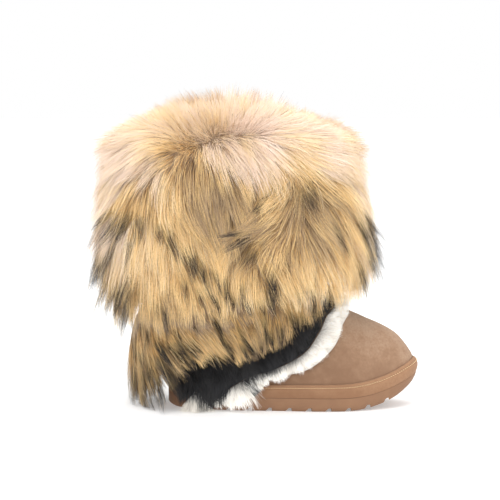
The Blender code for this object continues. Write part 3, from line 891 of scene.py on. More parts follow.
def fur_tree():
    tree, bench, entry = group_of("combed_fur", FUR_INPUTS)
    hide = entry["Geometry"]

    def told(name, kind="FLOAT"):
        return bench.add("GeometryNodeInputNamedAttribute", {"data_type": kind}, {"Name": name})

    def way(name):
        return told(name, "FLOAT_VECTOR")

    def stored(geometry, name, value, kind=None, domain="POINT"):
        kind = kind or ("FLOAT_VECTOR" if value.vector else "FLOAT")
        settings = {"data_type": kind, "domain": domain}
        sockets = {"Geometry": geometry, "Name": name, "Value": value}
        return bench.add("GeometryNodeStoreNamedAttribute", settings, sockets)

    def scatter(settings, sockets):
        sockets = {"Mesh": hide, **sockets}
        return bench.add("GeometryNodeDistributePointsOnFaces", settings, sockets, "Points")

    def chance(seed, low=0.0, high=1.0, ident=None):
        kind = "FLOAT_VECTOR" if isinstance(low, tuple) else "FLOAT"
        sockets = {"Min": low, "Max": high, "Seed": entry["Seed"] + seed}
        if ident:
            sockets["ID"] = ident
        return bench.add("FunctionNodeRandomValue", {"data_type": kind}, sockets, "Value")

    # Where hairs and locks stand, and which lock is a hair's nearest
    points = scatter({}, {"Density": entry["Density"] * told("thick"), "Seed": entry["Seed"]})
    locks = scatter(
        {"distribute_method": "POISSON"},
        {"Distance Min": entry["Lock Spacing"], "Density Max": MOST_LOCKS, "Seed": entry["Seed"] + 1},
    )
    place = bench.add("GeometryNodeInputPosition")
    mine = bench.add("GeometryNodeSampleNearest", {}, {"Geometry": locks, "Sample Position": place})

    def of_lock(value):
        kind = "FLOAT_VECTOR" if value.vector else "FLOAT"
        sockets = {"Geometry": locks, "Value": value, "Index": mine}
        return bench.add("GeometryNodeSampleIndex", {"data_type": kind}, sockets)

    # The ways that a hair and its lock set out and end: locks stray whole, and each hair frays by itself
    ones = ((-1.0,) * 3, (1.0,) * 3)
    stray = chance(2, *ones, ident=mine) * entry["Stray"]
    fray = chance(3, *ones) * entry["Fray"]
    out, lie = way("out"), way("lie")
    lock_out, lock_lie = of_lock(out), of_lock(lie)
    lift = entry["Lift"] * told("lift")

    def start_way(out_of, lie_of, spread):
        return (out_of * lift + lie_of * (1.0 - lift) + stray * STRAY_AT_ROOT + spread).unit()

    def end_way(out_of, lie_of, spread):
        return (lie_of + stray + spread * FRAY_AT_TIP + out_of * (lock_dark * 0.10)).unit()

    def agreed(lie_of):
        """1 where the hide's points around agree on the way, less where their ways cancel."""
        whole = bench.add("ShaderNodeVectorMath", {"operation": "LENGTH"}, {0: lie_of}, "Value")
        return whole * whole * 0.7 + 0.3

    # How long each hair is, and how far it gathers to its lock
    guard = chance(4).less(entry["Long Hairs"])
    lock_dark = chance(8, ident=mine).less(of_lock(told("dark")))
    varied = 1.12 - chance(5) * 0.60 + lock_dark * 0.12
    length = told("reach") * agreed(lie) * varied * (1.0 + guard * 0.14)
    lock_reach = of_lock(told("reach")) * agreed(lock_lie)
    lock_length = lock_reach * chance(6, 0.66, 1.14, ident=mine) * (varied * 0.8 + 0.3)
    pull = entry["Pull"] * chance(7, 0.55, 1.0)
    pull = (pull + lock_dark * (DARK_PULL - pull)) * (1.0 - guard * 0.8)

    # Its column in the coat's colours: pale to woolly as the hide says, and beyond that black-tipped
    dark = (lock_dark * chance(9).less(0.92) + guard).clamp()
    black_tip = 0.88 + chance(10, ident=mine) * 0.12
    kind = (told("tone") + (chance(11, ident=mine) - 0.5) * 0.22 + (chance(12) - 0.5) * 0.26).clamp()
    kind = kind.sum("MINIMUM", DARKEST_WOOL)
    kind = (kind + dark * (black_tip - kind)) * 0.98 + 0.01

    # All this is kept on the points, for the ribbons that are laid on them
    no_fray = stray * 0.0
    kept = {
        "root": place,
        "start": start_way(out, lie, fray),
        "end": end_way(out, lie, fray),
        "length": length,
        "lock_root": of_lock(place),
        "lock_start": start_way(lock_out, lock_lie, no_fray),
        "lock_end": end_way(lock_out, lock_lie, no_fray),
        "lock_length": lock_length,
        "pull": pull,
        "kind": kind,
        "roll": out + chance(13, *ones) * 0.45,
    }
    for name, value in kept.items():
        points = stored(points, name, value)

    grid = {"Size X": 2.0, "Size Y": 1.0, "Vertices X": 2, "Vertices Y": entry["Steps"] + 1}
    ribbon = bench.add("GeometryNodeMeshGrid", {}, grid, "Mesh")
    for name, value in {"side": place.part(0), "share": place.part(1) + 0.5}.items():
        ribbon = stored(ribbon, name, value)
    laid = bench.add("GeometryNodeInstanceOnPoints", {}, {"Points": points, "Instance": ribbon})
    real = bench.add("GeometryNodeRealizeInstances", {}, {"Geometry": laid})

    # Each ribbon is bent along its own line, and more and more towards its lock's line
    share, side = told("share"), told("side")

    def line(root, start, end, reach):
        """Where a hair is at its share: it leaves one way and ends another."""
        curve = start * (share - share * share * 0.5) + end * (share * share * 0.5)
        return root + curve * reach

    own = line(way("root"), way("start"), way("end"), told("length"))
    guide = line(way("lock_root"), way("lock_start"), way("lock_end"), told("lock_length"))
    gather = told("pull") * share**1.15
    waves = {"Vector": guide * WAVE_SCALE, "Scale": 1.0, "Detail": 1.0}
    ripple = bench.add("ShaderNodeTexNoise", {}, waves, "Color") - (0.5, 0.5, 0.5)
    bent = own * (1.0 - gather) + guide * gather + ripple * (share * entry["Wave"])
    along = way("start") * (1.0 - share) + way("end") * share
    across = along.cross(way("roll")).unit()
    taper = 1.0 - share * share * TIP_NARROWER
    edge = bent + across * (side * taper * entry["Hair Width"] * 0.5)
    over_floor = {"X": edge.part(0), "Y": edge.part(1), "Z": edge.part(2).top(FLOOR_CLEAR)}
    spot = bench.add("ShaderNodeCombineXYZ", {}, over_floor)
    moved = bench.add("GeometryNodeSetPosition", {}, {"Geometry": real, "Position": spot})
    on_map = bench.add("ShaderNodeCombineXYZ", {}, {"X": told("kind") + side * MAP_HALF, "Y": share})
    mapped = stored(moved, "OFBake", on_map, "FLOAT2", "CORNER")
    for name in [*kept, "side", "share"]:
        mapped = bench.add("GeometryNodeRemoveAttribute", {}, {"Geometry": mapped, "Name": name})
    smooth = bench.add("GeometryNodeSetShadeSmooth", {}, {"Geometry": mapped})
    end_group(bench, smooth, entry["Coat"])
    return tree


FUR_TREE = fur_tree()

# %% [markdown]
# A hide is a loft too, part of the way out to the fur's face. At each of its points it says how the fur
# lies there, how long it is, how dark, and how thick it grows.


# %% Make a hide
HIDE_LOOP = turns(120)
ALL_ROUND = [*HIDE_LOOP, 2 * math.pi]


def hide_mesh(name, place, steps, around, groom):
    """An open loft whose points carry what groom says of them."""
    rings = [[place(u, turn)[0] for u in steps] for turn in around]
    mesh = loft(name, rings, joined=False)
    told = [groom(*place(u, turn), u, turn) for turn in around for u in steps]
    for field in ("out", "lie"):
        layer = mesh.attributes.new(field, "FLOAT_VECTOR", "POINT")
        layer.data.foreach_set("vector", [n for values in told for n in getattr(values, field)])
    for field in ("reach", "tone", "dark", "thick", "lift"):
        layer = mesh.attributes.new(field, "FLOAT", "POINT")
        layer.data.foreach_set("value", [float(getattr(values, field)) for values in told])
    return mesh


Groom = namedtuple("Groom", "out lie reach tone dark thick lift")

# A pelt: how far apart its locks are, how wide a hair, how much hairs gather, how far locks and hairs stray,
# how wavy they are, how steeply they leave the hide, and the share of long guard hairs
Pelt = namedtuple("Pelt", "spacing width pull stray fray wave lift long_hairs")


def grow_fur(hide, hairs, seed, material, slot, pelt):
    """Hair on a hide, as one piece. hairs is how many, and pelt how they gather and stray."""
    name, area = hide.name, sum(face.area for face in hide.polygons)
    values = dict(zip(PELT_SIZES, pelt), Density=hairs / area, Steps=HAIR_STEPS, Seed=seed, Coat=material)
    made = grow(hide, FUR_TREE, values)
    made.name = name
    hand_over(name, made, material, slot)


# %% [markdown]
# The cuff. Its fur fans out from a parting near the top of the outer side: up over the rim, back at the
# back, forward at the front and down everywhere else, with three whorls where it turns round a dark root.

# %% How the cuff's fur is combed
COLLAR_DEPTH_BACK = 0.083
COLLAR_DEPTH_FRONT = 0.087
COLLAR_HANG = 2.6
COLLAR_FUR_FOOT = 9.75
HIDE_SHARE = 0.76
Face = namedtuple("Face", "u out row fore")
COLLAR_FACE = [
    Face(0.00, 0.20, LAST_ROW + 1.00, 0.0),
    Face(0.16, 0.54, LAST_ROW + 0.50, -0.37),
    Face(0.32, 0.78, 12.85, -0.20),
    Face(0.55, 0.93, 11.90, 0.0),
    Face(0.72, 1.00, 11.00, 0.1),
    Face(0.87, 1.00, 9.90, 0.3),
    Face(1.00, 0.84, 8.70, 0.6),
]
Fall = namedtuple("Fall", "u up proud")
FALL = [
    Fall(0.00, 0.9, 0.34),
    Fall(0.10, 0.4, 0.30),
    Fall(0.22, -0.2, 0.26),
    Fall(0.42, -0.7, 0.24),
    Fall(0.60, -1.1, 0.26),
    Fall(1.00, -1.6, 0.20),
]

# Whorls: where the fur turns round a dark root. drop is how far it only falls from there, and not all round.
Whorl = namedtuple("Whorl", "x side z reach strength spin drop")
WHORLS = [
    Whorl(0.061, -1, 0.182, 0.030, 3.6, -0.5, 0.5),
    Whorl(-0.052, -1, 0.226, 0.028, 2.8, 0.4, 0.85),
    Whorl(0.020, 1, 0.235, 0.036, 3.0, -0.4, 0.5),
    Whorl(0.110, 1, 0.190, 0.032, 2.8, 0.4, 0.6),
    Whorl(-0.060, 1, 0.180, 0.032, 2.2, 0.3, 0.8),
]

# Patches where the woolly grey underfur shows, partly as painted shade, and patches where locks end in black
Patch = namedtuple("Patch", "x side z reach value")
WOOL_AND_SHADE = [
    Patch(0.020, -1, 0.238, 0.044, 0.76),
    Patch(0.084, -1, 0.262, 0.020, 0.42),
    Patch(0.120, -1, 0.222, 0.034, 0.64),
    Patch(0.025, -1, 0.282, 0.026, 0.10),
    Patch(-0.010, -1, 0.262, 0.024, 0.52),
    Patch(-0.052, -1, 0.232, 0.016, 0.62),
    Patch(0.062, -1, 0.205, 0.036, 0.62),
    Patch(0.050, 1, 0.210, 0.036, 0.64),
    Patch(-0.040, 1, 0.250, 0.030, 0.60),
    Patch(0.120, 1, 0.230, 0.026, 0.60),
]
BLACK_TIPPED = [
    Patch(-0.103, -1, 0.188, 0.022, 0.9),
    Patch(-0.062, -1, 0.222, 0.014, 1.0),
    Patch(-0.038, -1, 0.212, 0.012, 1.0),
    Patch(0.092, -1, 0.256, 0.010, 1.0),
    Patch(0.084, -1, 0.232, 0.008, 0.6),
    Patch(0.120, -1, 0.225, 0.008, 0.8),
    Patch(0.168, -1, 0.222, 0.020, 1.0),
    Patch(0.164, -1, 0.185, 0.014, 0.8),
    Patch(0.066, -1, 0.186, 0.016, 0.9),
    Patch(-0.020, -1, 0.188, 0.010, 0.8),
    Patch(0.020, -1, 0.168, 0.010, 0.8),
    Patch(0.070, -1, 0.150, 0.010, 0.8),
    Patch(-0.110, 1, 0.215, 0.016, 0.9),
    Patch(0.030, 1, 0.240, 0.012, 0.9),
    Patch(0.100, 1, 0.185, 0.012, 0.9),
    Patch(0.158, 1, 0.220, 0.022, 1.0),
]
FUR_MIDDLE = 0.032
WEAK_COMB = 0.80
COLLAR_HAIR = 0.058
RIM_SHORTER = 0.026
RIM_ENDS_SHORTER = 0.014
HEM_SHORTER = 0.020
HEM_BACK_LONGER = 0.012
CREST_LONGER = 0.003

# Partings, as points from the rim down: x and z. The first on a side rules it, the others only nearby.
# sweep is the way along x in which the fur falls over from it: 0 is both.
Parting = namedtuple("Parting", "side reach strength sweep points")
PARTINGS = [
    Parting(-1, 1.0, 0.95, 0, [(0.038, 0.302), (-0.018, 0.272), (-0.052, 0.226)]),
    Parting(-1, 0.036, 4.2, -1, [(0.088, 0.280), (0.108, 0.245), (0.100, 0.200)]),
    Parting(1, 1.0, 0.95, 0, [(0.020, 0.302), (0.075, 0.272), (0.100, 0.230)]),
    Parting(1, 0.040, 2.8, 1, [(-0.020, 0.275), (-0.040, 0.240), (-0.032, 0.200)]),
]
SIDE_HALF = 0.140


def collar_face(u, turn):
    share = front_share(turn)
    depth = COLLAR_DEPTH_BACK + (COLLAR_DEPTH_FRONT - COLLAR_DEPTH_BACK) * share
    row = read(COLLAR_FACE, "row", u) + read(COLLAR_FACE, "fore", u) * share - max(0.0, u - 1) * COLLAR_HANG
    return row, read(COLLAR_FACE, "out", u) * depth


def collar_hide(u, turn):
    """A point of the cuff's hide and the way out of it."""
    row, out = collar_face(u, turn)
    if row > LAST_ROW:
        row = LAST_ROW + (row - LAST_ROW) * 0.45
    way = outward(min(row, float(LAST_ROW)), turn).copy()
    way.z += 1.6 * (1 - ease(0.0, 0.45, u)) - 0.25 * ease(0.7, 1.0, u)
    return off(row, turn, out * HIDE_SHARE), way.normalized()


def whorled(point, lie):
    """The comb's way, turned round the whorls that are near."""
    for whorl in WHORLS:
        if point.y * whorl.side < 0:
            continue
        away = Vector((point.x - whorl.x, 0.0, point.z - whorl.z))
        near = near_by(away.length, whorl.reach) * whorl.strength
        if away.z > 0:
            near *= 1 - whorl.drop
        round_it = Vector((away.z, 0.0, -away.x))
        lie = lie + (away + round_it * whorl.spin) * (near / max(away.length, 0.012))
    return lie


def parted(point):
    """The way that the fur is parted here, sideways and up, and how far off the main parting is."""
    here = Vector((point.x, point.z))
    lie, main = Vector((0.0, 0.0)), None
    for parting in PARTINGS:
        if point.y * parting.side < 0:
            continue
        ways = []
        for k, (start, end) in enumerate(zip(parting.points, parting.points[1:])):
            start, run = Vector(start), Vector(end) - Vector(start)
            share = clamped((here - start).dot(run) / run.length_squared)
            ways.append((here - (start + run * share), k + share))
        away, along = min(ways, key=lambda way: way[0].length)
        if main is None:
            main = away.length
        near = parting.strength * near_by(away.length, parting.reach)
        soft = 0.045
        if parting.sweep:
            near *= (0.6 + 0.4 * math.tanh(away.x * parting.sweep / 0.008)) * ease(0.0, 0.9, along)
            away = Vector((away.x, min(away.y, 0.0)))
            soft = 0.012
        lie += away * (near / max(away.length, soft))
    return lie, main


def patched(point, patches):
    """The strongest patch here: how close it is, from 0 to 1, and its value."""
    best = (0.0, 0.0)
    for patch in patches:
        if point.y * patch.side > 0:
            away = math.hypot(point.x - patch.x, point.z - patch.z)
            best = max(best, (near_by(away, patch.reach), patch.value))
    return best


def wander(point, scale):
    """A soft sway: three noises, one for each axis."""
    return Vector([noise.noise(point * scale + Vector((shift, -shift, 0.5))) for shift in (0.0, 31.7, 67.1)])


def combed(lie, out, proud):
    """The comb's way laid on the hide and this far proud of it. Where it is weak, the fur stands out."""
    flat = lie - out * lie.dot(out)
    weak = 1 - min(1.0, flat.length / WEAK_COMB)
    return (flat.normalized() * (1 - weak) + out * (proud + weak)).normalized()


def collar_groom(point, out, u, turn):
    # Which way it lies: off the partings, down, round the whorls, and a little astray
    ends = math.cos(turn) ** 2
    away, far = parted(point)
    down = ends * ease(0.06, 0.15, far)
    up = read(FALL, "up", u)
    lie = Vector((away.x, 0.10 * point.y / SIDE_HALF, away.y * 0.5 + up - 1.4 * down * ease(0.0, 0.3, u)))
    lie = whorled(point, lie) + wander(point, 9.0) * 0.45 + wander(point, 24.0) * 0.40
    side = (1 - ends) * ease(0.20, 0.45, u)
    lie = combed(lie, out, read(FALL, "proud", u) * (1 - 0.4 * ends - 0.45 * side))
    # How pale it is: palest high up and at the front and back, with patches of wool that are partly painted
    # shade, and of black tips
    drift = noise.noise(point * 18.0 + Vector((5, 1, 3)))
    high = ease(0.19, 0.28, point.z)
    edge = ease(0.06, 0.13, abs(point.x - FUR_MIDDLE)) * ease(0.16, 0.22, point.z)
    tone = 0.38 - 0.36 * max(high, edge) + 0.18 * drift
    close, wool = patched(point, WOOL_AND_SHADE)
    tone += (wool - tone) * close * 0.9
    low = 1 - ease(0.13, 0.22, point.z)
    dark = (0.06 + 0.10 * low + 0.18 * ease(-0.02, -0.09, point.x)) * (1 - ease(0.16, 0.25, point.z))
    close, chance = patched(point, BLACK_TIPPED)
    dark = max(dark, chance * ease(0.3, 0.6, close))
    # How long it is: shorter by the rim and the hem, and where it stands out
    back = (1 - front_share(turn)) ** 2
    reach = COLLAR_HAIR - (RIM_SHORTER + RIM_ENDS_SHORTER * ends) * (1 - ease(0.0, 0.45, u))
    reach -= (HEM_SHORTER - HEM_BACK_LONGER * back) * ease(0.75, 1.0, u)
    proud = max(0.0, lie.dot(out) - 0.15 - 0.10 * (1 - ease(0.2, 0.45, u)))
    reach *= (1 - (0.5 + 0.5 * ease(0.2, 0.45, u)) * proud) * (1 - 0.22 * side)
    reach += CREST_LONGER * (1 - ends) * (1 - ease(0.05, 0.30, u))
    lift = 1 - 0.7 * ends * (1 - ease(0.25, 0.50, u))
    return Groom(out, lie, reach, tone, dark, 1.0, lift)


# %% The cuff's underfur and its hair
HIDE_STEPS = 24
RAND_TOP = 1.35
RAND_CLEARED = 2.2

# The gap in the white strip, beside its large tuft: where its top is, its half width and how far it slants
GAP_X = 0.0465
GAP_Z = 0.0340
GAP_HALF = 0.0056
GAP_SLANT = 0.95


def rest(row):
    """How far out the underfur's back is: on the suede, or over the rand where that stands in its way."""
    over = clamped((RAND_CLEARED - row) / (RAND_CLEARED - RAND_TOP))
    return FUR_GAP + (RAND_WALL + FIT_GAP) * over


def fur_body(name, place, low, high, around=HIDE_LOOP, loop=True):
    """The closed form of the underfur: its back on the suede, between two rows, and its face on the hide."""
    rings = []
    for turn in around:
        back = [off(row, turn, rest(row)) for row in shares(8, low(turn), high(turn))]
        rings.append(back + [place(u, turn)[0] for u in shares(HIDE_STEPS)])
    return loft(name, rings, loop=loop, caps=None if loop else "flat")


def underfur(name, root, tip, gap_shadow=None):
    """Short woolly fur: a soft colour with a bump like curled wool, and, where given, a dark painted shadow
    in the white strip's gap.
    """
    made, bench, shader = finish_of(name, 0.95, sheen=0.3, specular=0.1)
    where = place_of(bench)
    curls = speckle(bench, where, 300.0, 4.0, 0.7)
    colour = mix(bench, curls, root, tip)
    if gap_shadow:
        # A painted shadow: near black in a slanting band at the gap beside the tuft, above the sole.
        beyond = where.part(0) - GAP_X - (GAP_Z - where.part(2)) * GAP_SLANT
        off_gap = (beyond * beyond).sum("SQRT") - GAP_HALF
        above = (1.0 - (0.016 - where.part(2)) * 400.0).clamp()
        colour = mix(bench, (1.0 - off_gap * 800.0).clamp() * above, colour, gap_shadow)
    bench.feed(shader, "Base Color", colour)
    bumped(bench, shader, curls, 0.9, 0.003)
    return made


UNDERFUR = underfur("underfur", TAUPE, GREY_BEIGE)
BLACK_UNDERFUR = underfur("black_underfur", shade(18, 18, 19), shade(40, 38, 37))
# The white underfur is painted grey as shade between the locks, and near black as a painted shadow in its
# gap.
WHITE_UNDERFUR = underfur("white_underfur", shade(206, 200, 190), shade(244, 240, 232), shade(30, 29, 29))

body = fur_body("collar_underfur", collar_hide, lambda turn: COLLAR_FUR_FOOT, lambda turn: float(LAST_ROW))
hand_over("collar_underfur", body, UNDERFUR, "long_fur", "collar_fur")

Tier = namedtuple("Tier", "name start end hairs pelt")
COLLAR_TIERS = [
    Tier("collar_fur_crest", 0.0, 0.34, 28500, Pelt(0.010, 0.00036, 0.22, 0.22, 0.20, 0.010, 0.40, 0.012)),
    Tier("collar_fur_middle", 0.30, 0.72, 30500, Pelt(0.010, 0.00036, 0.45, 0.21, 0.12, 0.010, 0.30, 0.012)),
    Tier("collar_fur_hem", 0.66, 1.0, 27500, Pelt(0.009, 0.00036, 0.48, 0.19, 0.12, 0.010, 0.28, 0.012)),
]
for t, tier in enumerate(COLLAR_TIERS):
    hide = hide_mesh(tier.name, collar_hide, shares(14, tier.start, tier.end), ALL_ROUND, collar_groom)
    grow_fur(hide, tier.hairs, 11 + t, LONG_FUR, "long_fur", tier.pelt)

# %% [markdown]
# Inside the crest the same fur runs on down to the collar's edge, so no bare underfur shows from above.

# %% The inner side of the cuff's crest
LIP_PELT = Pelt(0.008, 0.00045, 0.25, 0.25, 0.20, 0.008, 0.40, 0.0)


def lip_hide(u, turn):
    """A point from the crest down to the collar's edge, and the way out of it, towards the opening."""
    crest, edge = collar_hide(0.0, turn)[0], off(float(LAST_ROW), turn, FUR_GAP)
    way = Vector((0, 0, 0.6)) - outward(float(LAST_ROW), turn)
    return crest + (edge - crest) * u, way.normalized()


def lip_groom(point, out, u, turn):
    lie = combed(Vector((0, 0, 1.0)) + wander(point, 24.0) * 0.7, out, 0.45)
    tone = 0.16 + 0.2 * noise.noise(point * 18.0)
    return Groom(out, lie, 0.020 - 0.006 * u, tone, 0.0, 1.0, 1.0)


hide = hide_mesh("collar_fur_lip", lip_hide, shares(8), ALL_ROUND, lip_groom)
grow_fur(hide, 5000, 23, LONG_FUR, "long_fur", LIP_PELT)

# %% [markdown]
# Below the cuff hangs a second tier of the same fur, then a strip of short black fur, and along the seam of
# the foot a strip of short white fur. They climb from the heel to the instep.

# %% The lower tiers
SKIRT_DEPTH_BACK = 0.054
SKIRT_DEPTH_FRONT = 0.020
SKIRT_TOP = 9.20
SKIRT_SHARE = 0.78
SKIRT_HAIR = 0.048
SKIRT_PELT = Pelt(0.0075, 0.00036, 0.36, 0.18, 0.12, 0.006, 0.36, 0.01)
Hem = namedtuple("Hem", "turn white black skirt")
HEMS = [
    Hem(0, 0.10, 0.30, 1.40),
    Hem(30, -0.20, 0.15, 2.60),
    Hem(45, -0.30, 0.10, 3.35),
    Hem(54, -0.35, 0.30, 3.55),
    Hem(63, -0.35, 1.10, 3.75),
    Hem(72, 0.10, 1.80, 4.00),
    Hem(80, 1.42, 2.15, 4.40),
    Hem(97, 2.20, 3.50, 5.50),
    Hem(113, 3.80, 5.05, 6.60),
    Hem(136, 5.60, 6.50, 7.50),
    Hem(180, 6.85, 7.60, 8.25),
]
Strip = namedtuple("Strip", "u out row")
SKIRT_FACE = [Strip(0.0, 0.30, 1.0), Strip(0.3, 0.84, 0.72), Strip(0.65, 1.0, 0.36), Strip(1.0, 0.86, 0.0)]


def hem(strip, turn):
    return read(HEMS, strip, half_turn(turn))


def skirt_hide(u, turn):
    low = hem("skirt", turn)
    depth = SKIRT_DEPTH_BACK + (SKIRT_DEPTH_FRONT - SKIRT_DEPTH_BACK) * front_share(turn)
    row = low + (SKIRT_TOP - low) * read(SKIRT_FACE, "row", u)
    way = outward(max(row, 0.0), turn).copy()
    return off(row, turn, max(read(SKIRT_FACE, "out", u) * depth * SKIRT_SHARE, rest(row) + 0.003)), way


def skirt_groom(point, out, u, turn):
    back = 1 - front_share(turn)
    lie = Vector((0.85 * back**2 + 0.10, 0.16 * point.y / 0.07, -1.0))
    lie = combed(lie + wander(point, 26.0) * 0.28, out, 0.12 - 0.30 * back**2 * ease(0.1, 0.5, u))
    patch = noise.noise(point * 20.0 + Vector((1, 7, 2)))
    low = 1 - ease(0.03, 0.10, point.z)
    tone = 0.40 + 0.12 * low + 0.15 * patch
    dark = 0.14 + 0.12 * low + 0.30 * ease(0.0, -0.04, point.x) + 0.5 * ease(0.6, 0.95, u)
    heel = 1 - ease(30, 62, half_turn(turn))
    fore = ease(70, 95, half_turn(turn))
    middle = ease(20, 34, half_turn(turn)) * (1 - ease(80, 100, half_turn(turn)))
    kept = 1 - middle
    reach = SKIRT_HAIR + 0.006 * heel * kept
    reach -= (0.018 - 0.015 * heel * kept + 0.010 * fore + 0.014 * middle) * u
    return Groom(out, lie, reach, tone, dark, 1.0, 0.7 - 0.4 * back)


body = fur_body("skirt_underfur", skirt_hide, lambda turn: hem("skirt", turn), lambda turn: SKIRT_TOP)
hand_over("skirt_underfur", body, UNDERFUR, "long_fur", "skirt_fur")
hide = hide_mesh("skirt_fur_locks", skirt_hide, shares(20), ALL_ROUND, skirt_groom)
grow_fur(hide, 27500, 31, LONG_FUR, "long_fur", SKIRT_PELT)

# %% [markdown]
# Each strip is a low body with a hide over it. The black strip's hair hangs forward over the white one. The
# white hair is short along the seam, and at its lower end it fans out beside a gap into a larger tuft.

# %% The black and white strips
TRIM_PILE = 0.0105
STRIP_SHARE = 0.40
STRIP_BARE = 0.5
ROW_GAP = 0.06
TRIM_FACE = [Strip(0.0, 0.55, 1.0), Strip(0.4, 1.0, 0.6), Strip(0.8, 0.9, 0.2), Strip(1.0, 0.45, 0.0)]
BLACK_HAIR = 0.021
WHITE_HAIR = 0.0115
FAN_HAIR = 0.0150
STRIP_PELT = Pelt(0.0055, 0.00042, 0.42, 0.32, 0.30, 0.003, 0.60, 0.0)


def strip_hide(strip, above, low_share=0.0):
    """A strip's hide. Its hair hangs down to the strip's edge, so the hide stops that much higher."""

    def place(u, turn):
        low = hem(strip, turn)
        high = hem(above, turn) - ROW_GAP
        low += (high - low) * low_share * ease(58, 66, half_turn(turn))
        row = low + (high - low) * read(TRIM_FACE, "row", u)
        way = outward(max(row, 0.0), turn).copy()
        return off(row, turn, rest(row) + read(TRIM_FACE, "out", u) * TRIM_PILE * STRIP_SHARE), way

    return place


def black_groom(point, out, u, turn):
    lie = Vector((0.25, 0.10 * point.y / 0.05, -1.0)) + wander(point, 40.0) * 0.25
    front = ease(95, 150, half_turn(turn))
    lie = lie + Vector((0.9 * front, 0.0, 0.5 * front))
    lie = (lie.normalized() + out * 0.36).normalized()
    gap = near_by(point.x - GAP_X + 0.003, 0.0055)
    lie.x += 0.45 * gap
    reach = BLACK_HAIR - 0.002 * front + 0.012 * gap - 0.005 * near_by(point.x - GAP_X + 0.014, 0.006)
    reach *= 1.04 + 0.9 * noise.noise(point * 75.0)
    tone = 0.3 + 0.5 * max(0.0, noise.noise(point * 60.0))
    return Groom(out, lie, reach, tone, 0.0, 1.0, 0.7)


def white_groom(point, out, u, turn):
    lie = Vector((0.50, 0.10 * point.y / 0.05, -0.8)) + wander(point, 50.0) * 0.50
    front = ease(85, 130, half_turn(turn))
    lie = lie + Vector((0.6 * front, 0.0, 0.45 * front))
    beyond = point.x - GAP_X - (GAP_Z - point.z) * GAP_SLANT
    fan = 0.0
    if beyond < 0:
        fan = near_by(beyond + 0.008, 0.016)
        lie.x += fan * (0.9 * math.tanh((beyond + 0.013) / 0.008) - lie.x)
    else:
        lie.x += near_by(beyond, 0.012)
    lie = (lie.normalized() + out * 0.22).normalized()
    reach = (WHITE_HAIR + FAN_HAIR * fan) * (1 + 0.6 * noise.noise(point * 90.0))
    tone = 0.16 + 0.6 * max(0.0, noise.noise(point * 60.0 + Vector((4, 4, 4))))
    thick = 1 - math.exp(-((beyond / (GAP_HALF * 1.8)) ** 4))
    return Groom(out, lie, reach, tone, 0.0, thick, 0.8)


STRIPS = [
    ("black", "skirt", 27, BLACK_UNDERFUR, BLACK_FUR, black_groom, 13500),
    ("white", "black", 48, WHITE_UNDERFUR, WHITE_FUR, white_groom, 14000),
]
for strip, above, first, under, finish, groom, hairs in STRIPS:
    around = turns(100, first / 360, 1 - first / 360)
    rows = (lambda turn: hem(strip, turn), lambda turn: hem(above, turn) - ROW_GAP)
    body = fur_body(strip + "_underfur", strip_hide(strip, above), *rows, around, loop=False)
    hand_over(strip + "_underfur", body, under, strip + "_fur", strip + "_trim")
    hide = hide_mesh(strip + "_trim_pile", strip_hide(strip, above, STRIP_BARE), shares(12), around, groom)
    grow_fur(hide, hairs, 51, finish, strip + "_fur", STRIP_PELT)

# %% [markdown]
# The small tuft on each side of the heel hangs from under the black strip over the rand. It is a drop with
# hair round it.

# %% The small white tufts by the heel
TUFT_TURN = math.radians(40)
TUFT_TOP = 0.60
TUFT_TIP = -0.95
TUFT_RADIUS = 0.0075
Bulge = namedtuple("Bulge", "along radius")
TUFT_SHAPE = [Bulge(0.0, 0.15), Bulge(0.2, 0.5), Bulge(0.5, 0.8), Bulge(0.8, 0.8), Bulge(1.0, 0.2)]
TUFT_STEPS = shares(12)
TUFT_AROUND = 16
TUFT_HAIR = 0.018
TUFT_PELT = Pelt(0.004, 0.00045, 0.35, 0.15, 0.15, 0.003, 0.4, 0.0)


def tuft_place(turn):
    """A hide round a line that hangs over the rand and the sole's side."""
    way = outward(0.0, turn)
    across = way.cross(Vector((0, 0, 1))).normalized()

    def place(along, round_it):
        radius = read(TUFT_SHAPE, "radius", along) * TUFT_RADIUS
        middle = off(TUFT_TOP + (TUFT_TIP - TUFT_TOP) * along, turn, RAND_WALL + TUFT_RADIUS + 0.002 * along)
        spoke = way * math.cos(round_it) + across * math.sin(round_it)
        return middle + spoke * radius, spoke

    return place


def tuft_groom(point, out, along, round_it):
    spread = math.copysign(0.6 + along, point.y)
    lie = combed(Vector((-0.1, spread, -1.0)) + wander(point, 60.0) * 0.3, out, 0.2)
    return Groom(out, lie, TUFT_HAIR + 0.008 * along, 0.7, 0.0, 1.0, 0.5)


for side, turn in (("lateral", TUFT_TURN), ("medial", -TUFT_TURN)):
    name = "white_tuft_" + side
    place = tuft_place(turn)
    rings = [[place(along, round_it)[0] for round_it in turns(TUFT_AROUND)] for along in TUFT_STEPS]
    hand_over(name + "_core", loft(name + "_core", rings, caps="flat"), WHITE_UNDERFUR, "white_fur", name)
    hide = hide_mesh(name + "_pile", place, TUFT_STEPS, [*turns(TUFT_AROUND), 2 * math.pi], tuft_groom)
    grow_fur(hide, 2200, 71, WHITE_FUR, "white_fur", TUFT_PELT)

# %% [markdown]
# A studio table: a pale floor that runs on past the picture, a large soft light over the boot, and a pale sky
# that fills the shadows. The camera looks at the boot's outer side from a little above it, as in the photo.

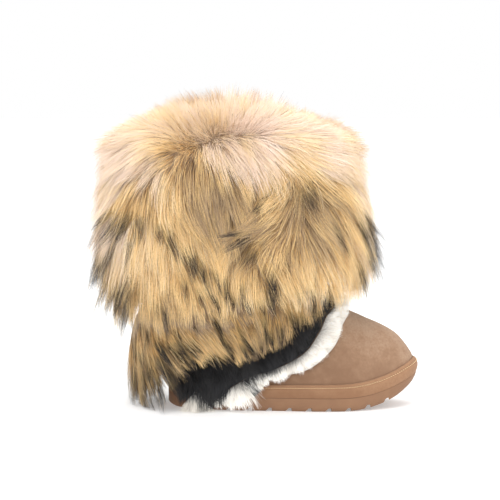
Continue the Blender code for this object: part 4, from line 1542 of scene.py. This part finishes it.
# %% Floor, light and camera
PICTURE = 500
METRE_PER_DOT = 0.001045
DISTANCE = 2.5
ELEVATION = math.radians(6)
SENSOR = 36.0
HEEL_DOT = (168.0, 410.8)
AIM_LOWER = 0.0047
BOOT_MIDDLE = Vector((0.05, 0, 0.12))
WHITE = (1.0, 1.0, 1.0)


def floor():
    mesh = bpy.data.meshes.new("floor")
    mesh.from_pydata([(-6, -6, 0), (6, -6, 0), (6, 6, 0), (-6, 6, 0)], [], [(0, 1, 2, 3)])
    made, bench, shader = finish_of("floor_paper", 0.9, specular=0.1)
    bench.feed(shader, "Base Color", (0.80, 0.80, 0.80))
    bench.feed(shader, "Emission Color", WHITE)
    bench.feed(shader, "Emission Strength", 0.30)
    mesh.materials.append(made)
    return placed("floor", mesh)


def lamp(name, spot, size, power):
    light = bpy.data.lights.new(name, "AREA")
    light.size = size
    light.energy = power
    made = placed(name, light)
    made.location = spot
    made.rotation_mode = "QUATERNION"
    made.rotation_quaternion = (BOOT_MIDDLE - Vector(spot)).to_track_quat("-Z", "Y")


floor()
lamp("key", (-0.6, -1.6, 2.0), 1.4, 30.0)
lamp("top", (0.2, 0.4, 2.4), 1.8, 22.0)
lamp("fill", (1.8, -1.4, 0.9), 1.4, 8.0)

world = bpy.data.worlds.new("studio")
world.use_nodes = True
sky = world.node_tree.nodes["Background"]
sky.inputs["Color"].default_value = (*WHITE, 1.0)
sky.inputs["Strength"].default_value = 1.0
bpy.context.scene.world = world
bpy.context.scene.view_settings.view_transform = "Standard"

aim = Vector((
    (PICTURE / 2 - HEEL_DOT[0]) * METRE_PER_DOT - HEEL_TO_ORIGIN,
    0.0,
    (HEEL_DOT[1] - PICTURE / 2) * METRE_PER_DOT - AIM_LOWER,
))
camera = bpy.data.cameras.new("camera")
camera.sensor_width = SENSOR
camera.lens = SENSOR * DISTANCE / (PICTURE * METRE_PER_DOT)
eye = placed("camera", camera)
eye.location = aim + Vector((0.0, -math.cos(ELEVATION), math.sin(ELEVATION))) * DISTANCE
eye.rotation_euler = (math.pi / 2 - ELEVATION, 0, 0)
bpy.context.scene.camera = eye
print("lens", round(camera.lens, 2))
